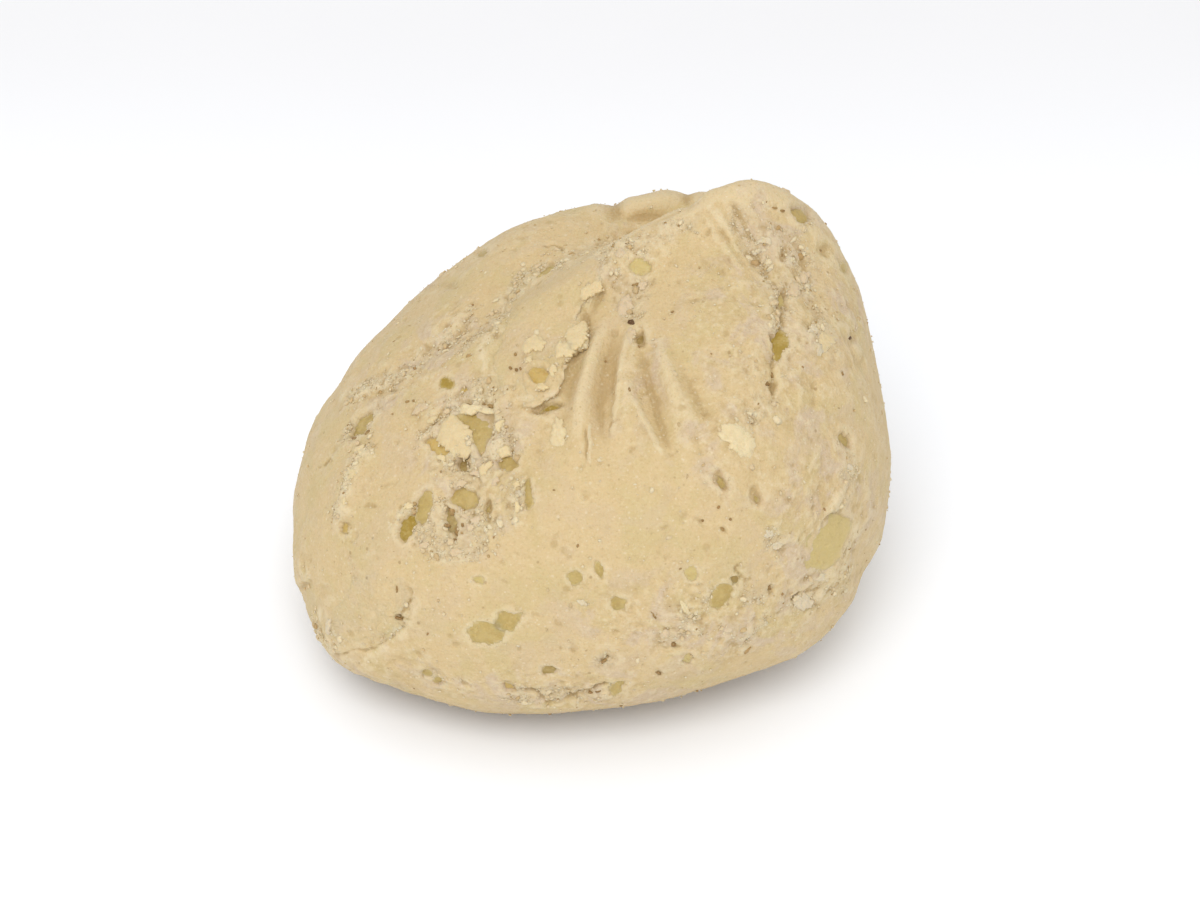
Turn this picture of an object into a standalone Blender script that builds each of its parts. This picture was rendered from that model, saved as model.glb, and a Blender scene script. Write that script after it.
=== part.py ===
"""A kurikinton: one lump of sweet chestnut paste, squeezed in a cloth so that its top is gathered into a pinched tip.

Millimetres inside, metres in the scene. +X runs along the longest side, towards the high shoulder with the tip, +Y to the
smooth back and +Z up. The origin is under the middle of the lump, on the flat spot that it rests on.

The lump is a mound: a plan outline, a level at which each side is widest, and a top surface that rises to a crest. The marks
that the cloth left are then pressed into it. They are drawn as lines on a sketch plane that faces an eye point in front of the
lump and above it, and each line moves the skin that it falls on in or out."""

import math

import bpy
import numpy as np

# ---------------- driving dimensions, mm ----------------
PLAN_RADIUS = (20.7, 20.7, 19.4, 18.2, 18.4, 19.3, 20.6, 23.0, 22.8, 21.1, 21.6, 21.9)  # every 30 degrees from +X, anticlockwise
BELLY_HEIGHT = 8.4  # level at which the lump is widest
BELLY_TILT = 0.8  # how much higher that level is on the right than in the middle
UNDERSIDE_DROP = 9.7  # from that level down to where the underside would end; the floor cuts it off at z = 0
ROUND_ABOVE, ROUND_BELOW = 2.4, 2.3  # 2 is an ellipse, larger is squarer
TOP_HEIGHT = 26.6
TOP_RISE = 0.30  # rise of the top per mm towards the right
# height, centre x, centre y, half length, half width, turn in degrees
TOP_FORMS = (
    (3.8, 10.9, 3.0, 4.4, 3.2, 25),  # pinched tip
    (2.3, 16.0, 4.5, 4.0, 6.0, 0),  # full right shoulder under the tip
    (1.9, 3.0, 0.2, 8.0, 2.4, 24),  # crest that runs down to the left
    (0.5, 3.4, 9.6, 2.0, 1.6, 5),  # second, smaller tip behind it
    (-2.8, 4.8, 6.8, 4.8, 2.8, 12),  # hollow between the two tips
    (0.5, -8.0, 8.5, 4.0, 5.0, 0),  # smooth lobe, back left
    (-1.0, -14.0, 7.0, 7.0, 8.0, 0),  # low left end
    (-0.9, -3.5, 4.0, 6.0, 2.4, 24),  # trough behind the crest
)
SWELL = ((0.30, 9.5, 11), (0.13, 4.2, 12))  # uneven skin: depth, size, pattern

# the sketch plane of the cloth marks: x to the right and t up, in mm, through AIM
EYE_RISE = math.radians(40.0)
EYE_DISTANCE = 260.0
AIM = np.array((0.5, 0.0, 10.7))
TO_EYE = np.array((0.0, -math.cos(EYE_RISE), math.sin(EYE_RISE)))
SKETCH_UP = np.array((0.0, math.sin(EYE_RISE), math.cos(EYE_RISE)))
# depth (in is negative), half width, where it is deepest along its length (0 to 1), points
MARKS = (
    # folds that spread down the front from the gather
    (-1.00, 0.72, 0.45, ((2.1, 10.6), (0.9, 7.4), (0.1, 3.9), (0.0, 1.4), (0.2, -1.8))),
    (-0.95, 0.80, 0.45, ((2.6, 10.3), (3.0, 7.4), (3.7, 3.9), (4.6, 0.9), (6.0, -2.8))),
    (-0.45, 0.95, 0.50, ((4.8, 9.8), (6.1, 6.2), (7.4, 2.8), (9.4, -1.4))),
    (-0.60, 0.65, 0.50, ((0.4, 10.6), (-0.7, 8.4), (-1.5, 5.6), (-2.6, 3.4), (-3.2, 0.7), (-3.2, -2.6))),
    (0.35, 0.70, 0.50, ((2.3, 9.6), (1.7, 5.0), (2.3, -1.5))),
    (0.45, 0.80, 0.45, ((0.6, 10.8), (-0.5, 7.1), (-1.3, 3.5), (-1.6, -2.0))),
    (0.25, 1.10, 0.50, ((3.9, 9.6), (5.1, 5.1), (6.9, -0.4))),
    # pleats under the tip
    (-0.60, 0.75, 0.50, ((7.4, 18.0), (9.8, 15.5), (11.6, 13.2), (13.3, 9.4))),
    (-0.45, 0.85, 0.50, ((12.0, 17.8), (14.0, 14.9), (15.1, 11.7), (16.4, 7.2))),
    (0.38, 0.85, 0.50, ((6.8, 16.4), (9.1, 13.8), (11.2, 10.0))),
    (-0.70, 0.60, 0.50, ((13.9, 12.0), (12.8, 8.2), (12.1, 5.1), (12.4, 1.9))),
    # torn hollow left of the folds
    (-0.55, 2.30, 0.45, ((-3.7, 3.6), (-6.7, 0.0), (-9.6, -3.5), (-11.6, -9.2))),
    # ledges at the two ends
    (0.35, 0.80, 0.50, ((-16.2, 1.2), (-17.6, -2.1), (-18.7, -5.9))),
    (0.32, 1.00, 0.50, ((18.7, 1.4), (17.6, -2.5), (16.1, -6.3))),
    # crack around the thumb lobe, low on the left, and two low cracks at the front
    (-0.75, 0.55, 0.45, ((-13.3, -7.6), (-13.5, -10.6), (-14.5, -12.6), (-16.6, -14.1), (-19.4, -12.9))),
    (-0.40, 0.55, 0.50, ((-7.8, -16.3), (-4.2, -17.5), (-0.9, -17.5), (2.0, -16.2))),
    (-0.35, 0.55, 0.50, ((-19.6, -13.6), (-16.5, -16.0), (-13.1, -17.4))),
    # crease between the front and the smooth lobe behind it
    (-0.80, 0.90, 0.50, ((-20.0, 3.0), (-15.6, 4.9), (-11.3, 7.3), (-5.7, 11.6), (0.0, 14.1), (3.5, 15.7), (7.2, 18.6))),
)
# a sheet of paste that lies over the next: height, half width of its edge, how far back the rise dies out, points.
# The sheet is on the left of a walk along the points.
SHEETS = (
    (0.95, 0.40, 4.6, ((-7.2, 2.4), (-5.9, 3.2), (-4.2, 3.5), (-2.8, 4.7), (-2.0, 6.7), (-1.2, 9.2), (0.1, 11.4), (1.2, 13.6))),
    (0.60, 0.90, 4.5, ((-20.6, 2.6), (-15.6, 4.9), (-11.3, 7.3), (-5.7, 11.6), (0.0, 14.1), (4.2, 16.2))),
)
THUMB_LOBE = (0.55, -17.0, -9.9, 3.2)  # height, sketch x, sketch t, radius

# ---------------- mesh ----------------
CELLS = 28  # cells along each side of the cube that the mesh is drawn on
FOCUS = (0.10, -0.58, 0.81)  # direction of the gather, where the mesh is finer
FOCUS_GAIN = 2.1

MM = 0.001
PASTE_COLOUR = (0.73, 0.55, 0.30, 1.0)


def cube_sphere(cells):
    """Unit directions and quads of a cube swollen to a sphere. Each point on an edge or a corner of the cube is made once."""
    steps = np.arange(cells + 1)
    grid_i, grid_j = np.meshgrid(steps, steps, indexing="ij")
    keys, quads = [], []
    for axis in range(3):
        for side in (0, cells):
            key = np.zeros((cells + 1, cells + 1, 3), np.int64)
            key[..., axis] = side
            key[..., (axis + 1) % 3] = grid_i
            key[..., (axis + 2) % 3] = grid_j
            number = np.arange((cells + 1) ** 2).reshape(cells + 1, cells + 1) + len(keys) * (cells + 1) ** 2
            quad = np.stack([number[:-1, :-1], number[1:, :-1], number[1:, 1:], number[:-1, 1:]], -1).reshape(-1, 4)
            keys.append(key.reshape(-1, 3))
            quads.append(quad if side else quad[:, ::-1])
    keys, index = np.unique(np.concatenate(keys), axis=0, return_inverse=True)
    place = np.tan((keys / cells - 0.5) * math.pi / 2)
    return place / np.linalg.norm(place, axis=1, keepdims=True), index.reshape(-1)[np.concatenate(quads)]


def gathered(u):
    """The same directions, drawn closer together around FOCUS."""
    pole = np.array(FOCUS) / np.linalg.norm(FOCUS)
    along = u @ pole
    across = u - along[:, None] * pole
    reach = np.linalg.norm(across, axis=1)
    angle = 2 * np.arctan2(reach, (1 + along) * FOCUS_GAIN)
    return np.cos(angle)[:, None] * pole + across * (np.sin(angle) / np.maximum(reach, 1e-9))[:, None]


def soft_step(low, high, x):
    t = np.clip((x - low) / (high - low), 0, 1)
    return t * t * (3 - 2 * t)


def around(values, angle):
    """A smooth closed curve through values spaced evenly round the circle."""
    v = np.array(values)
    t = (angle / (2 * math.pi) * len(v)) % len(v)
    i = np.floor(t).astype(int)
    f = t - i
    a, b, c, d = (v[(i + k) % len(v)] for k in (-1, 0, 1, 2))
    return b + 0.5 * f * (c - a + f * (2 * a - 5 * b + 4 * c - d + f * (3 * (b - c) + d - a)))


def top_surface(x, y):
    z = TOP_HEIGHT + TOP_RISE * x
    for height, cx, cy, half_length, half_width, turn in TOP_FORMS:
        c, s = math.cos(math.radians(turn)), math.sin(math.radians(turn))
        a = ((x - cx) * c + (y - cy) * s) / half_length
        b = ((y - cy) * c - (x - cx) * s) / half_width
        z = z + height * np.exp(-(a * a + b * b))
    return z


def mound(u):
    turn = np.arctan2(u[:, 1], u[:, 0])
    rise = np.abs(u[:, 2])
    flat = np.sqrt(np.maximum(1 - rise * rise, 0))
    above = u[:, 2] > 0
    power = np.where(above, ROUND_ABOVE, ROUND_BELOW)
    size = (flat**power + rise**power) ** (1 / power)
    radius = around(PLAN_RADIUS, turn) * flat / size
    x, y = radius * np.cos(turn), radius * np.sin(turn)
    belly = BELLY_HEIGHT + BELLY_TILT * np.cos(turn)
    z = np.where(above, belly + (top_surface(x, y) - belly) * rise / size, belly - UNDERSIDE_DROP * rise / size)
    return np.stack([x, y, z], 1)


def unit(v):
    return v / np.linalg.norm(v, axis=1, keepdims=True)


def mound_normal(u):
    step = 2e-3
    a = unit(np.cross(u, (0.3, 0.5, 0.81)))
    b = np.cross(u, a)
    over_a = mound(unit(u + step * a)) - mound(unit(u - step * a))
    over_b = mound(unit(u + step * b)) - mound(unit(u - step * b))
    return unit(np.cross(over_a, over_b))


def noise(p, size, pattern):
    """Smooth repeatable unevenness between about -1 and 1, with swells about size across."""
    q = p / size + 100.0
    cell = np.floor(q).astype(np.int64)
    f = q - cell
    w = f * f * f * (f * (f * 6 - 15) + 10)
    total = np.zeros(len(p))
    for dx in (0, 1):
        for dy in (0, 1):
            for dz in (0, 1):
                h = (cell[:, 0] + dx) * 73856093 ^ (cell[:, 1] + dy) * 19349663 ^ (cell[:, 2] + dz) * 83492791 ^ pattern * 2654435
                h = ((h ^ (h >> 13)) * 1274126177) & 0x7FFFFFFF
                h = ((h ^ (h >> 15)) * 461845907) & 0x7FFFFFFF
                spin = (h % 4096) / 4096 * 2 * math.pi
                lift = (h >> 12) % 4096 / 2048 - 1
                side = np.sqrt(1 - lift * lift)
                slope = side * np.cos(spin) * (f[:, 0] - dx) + side * np.sin(spin) * (f[:, 1] - dy) + lift * (f[:, 2] - dz)
                share = np.where(dx, w[:, 0], 1 - w[:, 0]) * np.where(dy, w[:, 1], 1 - w[:, 1]) * np.where(dz, w[:, 2], 1 - w[:, 2])
                total += share * slope
    return total * 1.7


def sketch(p):
    """Where points fall on the sketch plane."""
    d = p - AIM
    scale = EYE_DISTANCE / (EYE_DISTANCE - d @ TO_EYE)
    return d[:, 0] * scale, (d @ SKETCH_UP) * scale


def beside(x, t, points):
    """Distance from a line of points, the share of its length gone by, and the side: 1 on the left of a walk along it."""
    points = np.array(points)
    legs = points[1:] - points[:-1]
    lengths = np.linalg.norm(legs, axis=1)
    gone = np.concatenate([[0], np.cumsum(lengths)])
    lefts = np.stack([-legs[:, 1], legs[:, 0]], 1) / lengths[:, None]
    # At a corner the side is judged by the mean of the two legs that meet there.
    corners = np.concatenate([lefts[:1], lefts[:-1] + lefts[1:], lefts[-1:]])
    best, share, side = np.full(len(x), 1e9), np.zeros(len(x)), np.zeros(len(x))
    for i, (start, leg, length) in enumerate(zip(points, legs, lengths)):
        dx, dt = x - start[0], t - start[1]
        k = np.clip((dx * leg[0] + dt * leg[1]) / length**2, 0, 1)
        ex, et = dx - k * leg[0], dt - k * leg[1]
        left = np.where((k <= 0)[:, None], corners[i], np.where((k >= 1)[:, None], corners[i + 1], lefts[i]))
        away = np.hypot(ex, et)
        near = away < best
        best = np.where(near, away, best)
        share = np.where(near, (gone[i] + k * length) / gone[-1], share)
        side = np.where(near, np.sign(left[:, 0] * ex + left[:, 1] * et), side)
    return best, share, side


def cloth_marks(p, normal):
    """How far the marks move the skin out, at points of the mound."""
    x, t = sketch(p)
    move = np.zeros(len(p))
    for depth, half_width, deepest, points in MARKS:
        away, share, _ = beside(x, t, points)
        strength = soft_step(0, deepest, share) * soft_step(0, 1 - deepest, 1 - share)
        move += depth * np.exp(-((away / half_width) ** 2)) * strength
    for height, edge, back, points in SHEETS:
        away, share, side = beside(x, t, points)
        on = away * side
        strength = soft_step(0, 0.25, share) * soft_step(0, 0.25, 1 - share)
        move += height * soft_step(-edge, edge, on) * np.exp(-((np.maximum(on, 0) / back) ** 2)) * strength
    height, cx, ct, radius = THUMB_LOBE
    move += height * np.exp(-(((x - cx) ** 2 + (t - ct) ** 2) / radius**2) ** 2)
    return move * soft_step(0.02, 0.35, normal @ TO_EYE)


def skin(u):
    """The finished surface in each direction, standing on z = 0."""
    p = mound(u)
    normal = mound_normal(u)
    move = cloth_marks(p, normal)
    for depth, size, pattern in SWELL:
        move += depth * noise(p, size, pattern)
    p = p + normal * move[:, None]
    p[:, 2] = np.maximum(p[:, 2], 0)
    return p


def build():
    for old in list(bpy.data.objects):
        bpy.data.objects.remove(old, do_unlink=True)
    u, quads = cube_sphere(CELLS)
    points = skin(gathered(u))
    points[:, :2] -= (points[:, :2].min(0) + points[:, :2].max(0)) / 2
    mesh = bpy.data.meshes.new("paste")
    mesh.from_pydata((points * MM).tolist(), [], quads.tolist())
    mesh.polygons.foreach_set("use_smooth", [True] * len(mesh.polygons))
    mesh.update()
    material = bpy.data.materials.new("paste")
    material.use_nodes = True
    shader = material.node_tree.nodes["Principled BSDF"]
    shader.inputs["Base Color"].default_value = PASTE_COLOUR
    shader.inputs["Roughness"].default_value = 0.7
    mesh.materials.append(material)
    paste = bpy.data.objects.new("paste", mesh)
    bpy.context.scene.collection.objects.link(paste)


build()
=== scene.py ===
import math

import bpy
import numpy as np
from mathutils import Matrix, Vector
from mathutils.bvhtree import BVHTree


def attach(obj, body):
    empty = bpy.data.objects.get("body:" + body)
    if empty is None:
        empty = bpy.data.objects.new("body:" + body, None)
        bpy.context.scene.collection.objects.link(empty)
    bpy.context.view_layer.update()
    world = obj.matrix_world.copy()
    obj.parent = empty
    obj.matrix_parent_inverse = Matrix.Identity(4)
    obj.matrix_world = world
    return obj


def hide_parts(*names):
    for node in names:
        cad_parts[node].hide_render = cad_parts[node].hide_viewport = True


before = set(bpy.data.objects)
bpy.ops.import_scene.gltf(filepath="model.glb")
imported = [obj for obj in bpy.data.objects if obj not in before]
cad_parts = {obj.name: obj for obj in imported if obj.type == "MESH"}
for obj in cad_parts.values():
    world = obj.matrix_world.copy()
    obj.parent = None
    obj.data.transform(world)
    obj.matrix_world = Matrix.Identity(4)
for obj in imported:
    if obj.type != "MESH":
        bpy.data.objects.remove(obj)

bpy.context.view_layer.update()

# =====================================================================================================================
# 1. The lump's form: the same sizes as the CAD solid, in millimetres, drawn here on a much finer mesh
# =====================================================================================================================
PLAN_RADIUS = (20.7, 20.7, 19.4, 18.2, 18.4, 19.3, 20.6, 23.0, 22.8, 21.1, 21.6, 21.9)
BELLY_HEIGHT = 8.4
BELLY_TILT = 0.8
UNDERSIDE_DROP = 9.7
ROUND_ABOVE, ROUND_BELOW = 2.4, 2.3
TOP_HEIGHT = 26.6
TOP_RISE = 0.30
TOP_FORMS = (
    (3.8, 10.9, 3.0, 4.4, 3.2, 25),
    (2.3, 16.0, 4.5, 4.0, 6.0, 0),
    (1.9, 3.0, 0.2, 8.0, 2.4, 24),
    (0.5, 3.4, 9.6, 2.0, 1.6, 5),
    (-2.8, 4.8, 6.8, 4.8, 2.8, 12),
    (0.5, -8.0, 8.5, 4.0, 5.0, 0),
    (-1.0, -14.0, 7.0, 7.0, 8.0, 0),
    (-0.9, -3.5, 4.0, 6.0, 2.4, 24),
)
SWELL = ((0.30, 9.5, 11), (0.13, 4.2, 12))

EYE_RISE = math.radians(40.0)
EYE_DISTANCE = 260.0
AIM = np.array((0.5, 0.0, 10.7))
TO_EYE = np.array((0.0, -math.cos(EYE_RISE), math.sin(EYE_RISE)))
SKETCH_UP = np.array((0.0, math.sin(EYE_RISE), math.cos(EYE_RISE)))
MARKS = (
    (-0.62, 0.78, 0.45, ((2.1, 10.6), (0.9, 7.4), (0.1, 3.9), (0.0, 1.4), (0.2, -1.8))),
    (-0.48, 0.85, 0.45, ((2.6, 10.3), (3.0, 7.4), (3.7, 3.9), (4.6, 0.9), (6.0, -2.8))),
    (-0.34, 1.00, 0.50, ((4.8, 9.8), (6.1, 6.2), (7.4, 2.8), (9.4, -1.4))),
    (-0.24, 0.65, 0.50, ((0.4, 10.6), (-0.7, 8.4), (-1.5, 5.6), (-2.6, 3.4), (-3.2, 0.7), (-3.2, -2.6))),
    (0.35, 0.70, 0.50, ((2.3, 9.6), (1.7, 5.0), (2.3, -1.5))),
    (0.45, 0.80, 0.45, ((0.6, 10.8), (-0.5, 7.1), (-1.3, 3.5), (-1.6, -2.0))),
    (0.25, 1.10, 0.50, ((3.9, 9.6), (5.1, 5.1), (6.9, -0.4))),
    (-0.40, 0.85, 0.50, ((7.4, 18.0), (9.8, 15.5), (11.6, 13.2), (13.3, 9.4))),
    (-0.32, 0.95, 0.50, ((12.0, 17.8), (14.0, 14.9), (15.1, 11.7), (16.4, 7.2))),
    (0.38, 0.85, 0.50, ((6.8, 16.4), (9.1, 13.8), (11.2, 10.0))),
    (-0.38, 0.70, 0.50, ((13.9, 12.0), (12.8, 8.2), (12.1, 5.1), (12.4, 1.9))),
    (-0.55, 2.30, 0.45, ((-3.7, 3.6), (-6.7, 0.0), (-9.6, -3.5), (-11.6, -9.2))),
    (0.35, 0.80, 0.50, ((-16.2, 1.2), (-17.6, -2.1), (-18.7, -5.9))),
    (0.32, 1.00, 0.50, ((18.7, 1.4), (17.6, -2.5), (16.1, -6.3))),
    (-0.24, 0.50, 0.45, ((-13.3, -7.6), (-13.5, -10.6), (-14.5, -12.6), (-16.6, -14.1), (-19.4, -12.9))),
    (-0.40, 0.55, 0.50, ((-7.8, -16.3), (-4.2, -17.5), (-0.9, -17.5), (2.0, -16.2))),
    (-0.35, 0.55, 0.50, ((-19.6, -13.6), (-16.5, -16.0), (-13.1, -17.4))),
    (-0.66, 0.90, 0.50, ((-20.0, 3.0), (-15.6, 4.9), (-11.3, 7.3), (-5.7, 11.6), (0.0, 14.1), (3.5, 15.7), (7.2, 18.6))),
)
FLAP = (0.46, 0.40, 4.6, ((-7.2, 2.4), (-5.9, 3.2), (-4.2, 3.5), (-2.8, 4.7), (-2.0, 6.7), (-1.2, 9.2), (0.1, 11.4), (1.2, 13.6)))
BACK_SHEET = (0.60, 0.90, 4.5, ((-20.6, 2.6), (-15.6, 4.9), (-11.3, 7.3), (-5.7, 11.6), (0.0, 14.1), (4.2, 16.2)))
THUMB_LOBE = (0.17, -17.0, -9.9, 3.2)
FOCUS = (0.0, -0.62, 0.78)

CELLS = 127
FOCUS_GAIN = 1.75
SHIFT = np.array((0.0874, 1.4469, 0.0))  # the CAD solid stands with the middle of its plan on the origin


def cube_sphere(cells):
    steps = np.arange(cells + 1)
    grid_i, grid_j = np.meshgrid(steps, steps, indexing="ij")
    keys, quads = [], []
    for axis in range(3):
        for side in (0, cells):
            key = np.zeros((cells + 1, cells + 1, 3), np.int64)
            key[..., axis] = side
            key[..., (axis + 1) % 3] = grid_i
            key[..., (axis + 2) % 3] = grid_j
            number = np.arange((cells + 1) ** 2).reshape(cells + 1, cells + 1) + len(keys) * (cells + 1) ** 2
            quad = np.stack([number[:-1, :-1], number[1:, :-1], number[1:, 1:], number[:-1, 1:]], -1).reshape(-1, 4)
            keys.append(key.reshape(-1, 3))
            quads.append(quad if side else quad[:, ::-1])
    keys, index = np.unique(np.concatenate(keys), axis=0, return_inverse=True)
    place = np.tan((keys / cells - 0.5) * math.pi / 2)
    return place / np.linalg.norm(place, axis=1, keepdims=True), index.reshape(-1)[np.concatenate(quads)]


def gathered(u):
    pole = np.array(FOCUS) / np.linalg.norm(FOCUS)
    along = u @ pole
    across = u - along[:, None] * pole
    reach = np.linalg.norm(across, axis=1)
    angle = 2 * np.arctan2(reach, (1 + along) * FOCUS_GAIN)
    return np.cos(angle)[:, None] * pole + across * (np.sin(angle) / np.maximum(reach, 1e-9))[:, None]


def soft_step(low, high, x):
    t = np.clip((x - low) / (high - low), 0, 1)
    return t * t * (3 - 2 * t)


def around(values, angle):
    v = np.array(values)
    t = (angle / (2 * math.pi) * len(v)) % len(v)
    i = np.floor(t).astype(int)
    f = t - i
    a, b, c, d = (v[(i + k) % len(v)] for k in (-1, 0, 1, 2))
    return b + 0.5 * f * (c - a + f * (2 * a - 5 * b + 4 * c - d + f * (3 * (b - c) + d - a)))


def top_surface(x, y):
    z = TOP_HEIGHT + TOP_RISE * x
    for height, cx, cy, half_length, half_width, turn in TOP_FORMS:
        c, s = math.cos(math.radians(turn)), math.sin(math.radians(turn))
        a = ((x - cx) * c + (y - cy) * s) / half_length
        b = ((y - cy) * c - (x - cx) * s) / half_width
        z = z + height * np.exp(-(a * a + b * b))
    return z


def mound(u):
    turn = np.arctan2(u[:, 1], u[:, 0])
    rise = np.abs(u[:, 2])
    flat = np.sqrt(np.maximum(1 - rise * rise, 0))
    above = u[:, 2] > 0
    power = np.where(above, ROUND_ABOVE, ROUND_BELOW)
    size = (flat**power + rise**power) ** (1 / power)
    radius = around(PLAN_RADIUS, turn) * flat / size
    x, y = radius * np.cos(turn), radius * np.sin(turn)
    belly = BELLY_HEIGHT + BELLY_TILT * np.cos(turn)
    z = np.where(above, belly + (top_surface(x, y) - belly) * rise / size, belly - UNDERSIDE_DROP * rise / size)
    return np.stack([x, y, z], 1)


def unit(v):
    return v / np.maximum(np.linalg.norm(v, axis=-1, keepdims=True), 1e-12)


def mound_normal(u):
    step = 2e-3
    a = unit(np.cross(u, (0.3, 0.5, 0.81)))
    b = np.cross(u, a)
    over_a = mound(unit(u + step * a)) - mound(unit(u - step * a))
    over_b = mound(unit(u + step * b)) - mound(unit(u - step * b))
    return unit(np.cross(over_a, over_b))


def mixed(cell, dx, dy, dz, pattern):
    h = (cell[:, 0] + dx) * 73856093 ^ (cell[:, 1] + dy) * 19349663 ^ (cell[:, 2] + dz) * 83492791 ^ pattern * 2654435
    h = ((h ^ (h >> 13)) * 1274126177) & 0x7FFFFFFF
    return ((h ^ (h >> 15)) * 461845907) & 0x7FFFFFFF


def noise(p, size, pattern):
    q = p / size + 100.0
    cell = np.floor(q).astype(np.int64)
    f = q - cell
    w = f * f * f * (f * (f * 6 - 15) + 10)
    total = np.zeros(len(p))
    for dx in (0, 1):
        for dy in (0, 1):
            for dz in (0, 1):
                h = mixed(cell, dx, dy, dz, pattern)
                spin = (h % 4096) / 4096 * 2 * math.pi
                lift = (h >> 12) % 4096 / 2048 - 1
                side = np.sqrt(1 - lift * lift)
                slope = side * np.cos(spin) * (f[:, 0] - dx) + side * np.sin(spin) * (f[:, 1] - dy) + lift * (f[:, 2] - dz)
                share = np.where(dx, w[:, 0], 1 - w[:, 0]) * np.where(dy, w[:, 1], 1 - w[:, 1]) * np.where(dz, w[:, 2], 1 - w[:, 2])
                total += share * slope
    return total * 1.7


def scales(p, size, pattern):
    """Cells like broken paste: a value for the cell that holds each point, and how far inside the cell the point is."""
    q = p / size + 100.0
    cell = np.floor(q).astype(np.int64)
    first, second, value = np.full(len(p), 9.0), np.full(len(p), 9.0), np.zeros(len(p))
    for dx in (-1, 0, 1):
        for dy in (-1, 0, 1):
            for dz in (-1, 0, 1):
                h = mixed(cell, dx, dy, dz, pattern)
                centre = cell + np.array((dx, dy, dz)) + np.stack([h % 1024, (h >> 10) % 1024, (h >> 20) % 1024], 1) / 1024
                away = np.linalg.norm(q - centre, axis=1)
                nearer = away < first
                second = np.where(nearer, first, np.minimum(second, away))
                value = np.where(nearer, ((h >> 5) % 997) / 997, value)
                first = np.where(nearer, away, first)
    return value, (second - first) * size


def sketch(p):
    d = p - AIM
    scale = EYE_DISTANCE / (EYE_DISTANCE - d @ TO_EYE)
    return d[:, 0] * scale, (d @ SKETCH_UP) * scale


def beside(x, t, points):
    points = np.array(points)
    legs = points[1:] - points[:-1]
    lengths = np.linalg.norm(legs, axis=1)
    gone = np.concatenate([[0], np.cumsum(lengths)])
    lefts = np.stack([-legs[:, 1], legs[:, 0]], 1) / lengths[:, None]
    corners = np.concatenate([lefts[:1], lefts[:-1] + lefts[1:], lefts[-1:]])
    best, share, side = np.full(len(x), 1e9), np.zeros(len(x)), np.zeros(len(x))
    for i, (start, leg, length) in enumerate(zip(points, legs, lengths)):
        dx, dt = x - start[0], t - start[1]
        k = np.clip((dx * leg[0] + dt * leg[1]) / length**2, 0, 1)
        ex, et = dx - k * leg[0], dt - k * leg[1]
        left = np.where((k <= 0)[:, None], corners[i], np.where((k >= 1)[:, None], corners[i + 1], lefts[i]))
        away = np.hypot(ex, et)
        near = away < best
        best = np.where(near, away, best)
        share = np.where(near, (gone[i] + k * length) / gone[-1], share)
        side = np.where(near, np.sign(left[:, 0] * ex + left[:, 1] * et), side)
    return best, share, side


# =====================================================================================================================
# 2. Marks too fine for the CAD solid. Places are x, y on a sheet 1200 wide and 900 high that the eye point looks at
# =====================================================================================================================
SHEET_MM = 1 / 14.103  # one sheet unit at the aim point


def at(x, y):
    return (x - 600) * SHEET_MM, (450 - y) * SHEET_MM


# ground where the smooth skin is torn and crumbly: x, y, half length, half width, turn, strength
TORN = (
    (632, 296, 20, 22, 0, 1.00),
    (655, 240, 62, 12, 22, 0.70),
    (590, 258, 40, 8, 18, 0.60),
    (492, 318, 62, 9, 48, 0.75),
    (440, 350, 50, 8, 38, 0.65),
    (380, 386, 46, 9, 25, 0.70),
    (361, 426, 26, 12, 45, 0.90),
    (476, 398, 34, 12, 20, 1.00),
    (482, 432, 34, 30, 0, 1.00),
    (438, 430, 30, 14, 30, 0.70),
    (470, 468, 30, 20, 0, 0.90),
    (452, 520, 42, 28, 0, 1.00),
    (505, 500, 22, 40, 0, 0.55),
    (536, 372, 14, 12, 30, 0.70),
    (346, 484, 9, 40, -18, 0.45),
    (752, 245, 12, 46, 30, 0.80),
    (800, 262, 22, 46, 25, 0.70),
    (785, 318, 12, 56, 5, 0.95),
    (820, 330, 12, 34, 12, 0.55),
    (846, 480, 12, 44, -10, 0.50),
    (775, 540, 18, 14, 0, 0.80),
    (812, 594, 40, 18, 15, 0.75),
    (756, 590, 34, 18, 10, 0.55),
    (690, 620, 30, 13, -20, 0.62),
    (745, 638, 34, 18, 30, 0.55),
    (666, 638, 14, 10, 0, 0.75),
    (604, 662, 18, 9, 20, 0.70),
    (560, 697, 58, 7, 0, 0.85),
    (354, 650, 36, 5, -12, 0.42),
    (428, 678, 26, 9, -20, 0.50),
    (760, 400, 34, 60, 0, 0.42),
)
# torn lines with flaky paste along them: half width (mm), strength, points
TORN_LINES = (
    (0.42, 1.0, ((480, 394), (481, 370), (488, 346), (496, 322), (505, 300), (521, 283), (541, 272), (562, 263), (582, 255), (602, 249), (626, 243))),
    (0.40, 0.9, ((337, 522), (345, 494), (351, 473), (361, 455), (376, 440))),
    (0.34, 0.8, ((350, 402), (380, 388), (410, 372), (440, 352), (462, 330), (474, 308))),
    (0.60, 0.8, ((741, 226), (752, 245), (760, 262), (771, 290), (776, 312), (778, 332))),
    (0.50, 0.7, ((800, 232), (808, 262), (812, 290), (826, 322))),
    (0.50, 0.8, ((664, 642), (690, 626), (702, 612), (706, 596))),
    (0.45, 0.8, ((512, 690), (540, 699), (570, 703), (600, 693), (618, 684))),
    (0.34, 0.7, ((792, 605), (812, 598), (836, 590), (850, 566), (852, 540))),
    (0.45, 0.8, ((424, 438), (440, 418), (462, 406), (496, 404), (506, 422), (501, 448), (519, 470), (520, 520))),
    (0.60, 0.9, ((424, 500), (412, 516), (422, 546), (446, 554), (474, 552), (490, 530), (480, 512))),
    (0.30, 0.7, ((744, 650), (752, 634), (764, 618))),
    (0.35, 0.7, ((320, 612), (326, 630), (344, 640))),
    (0.30, 0.7, ((586, 298), (603, 286), (616, 276), (640, 256), (652, 258))),
)
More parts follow.
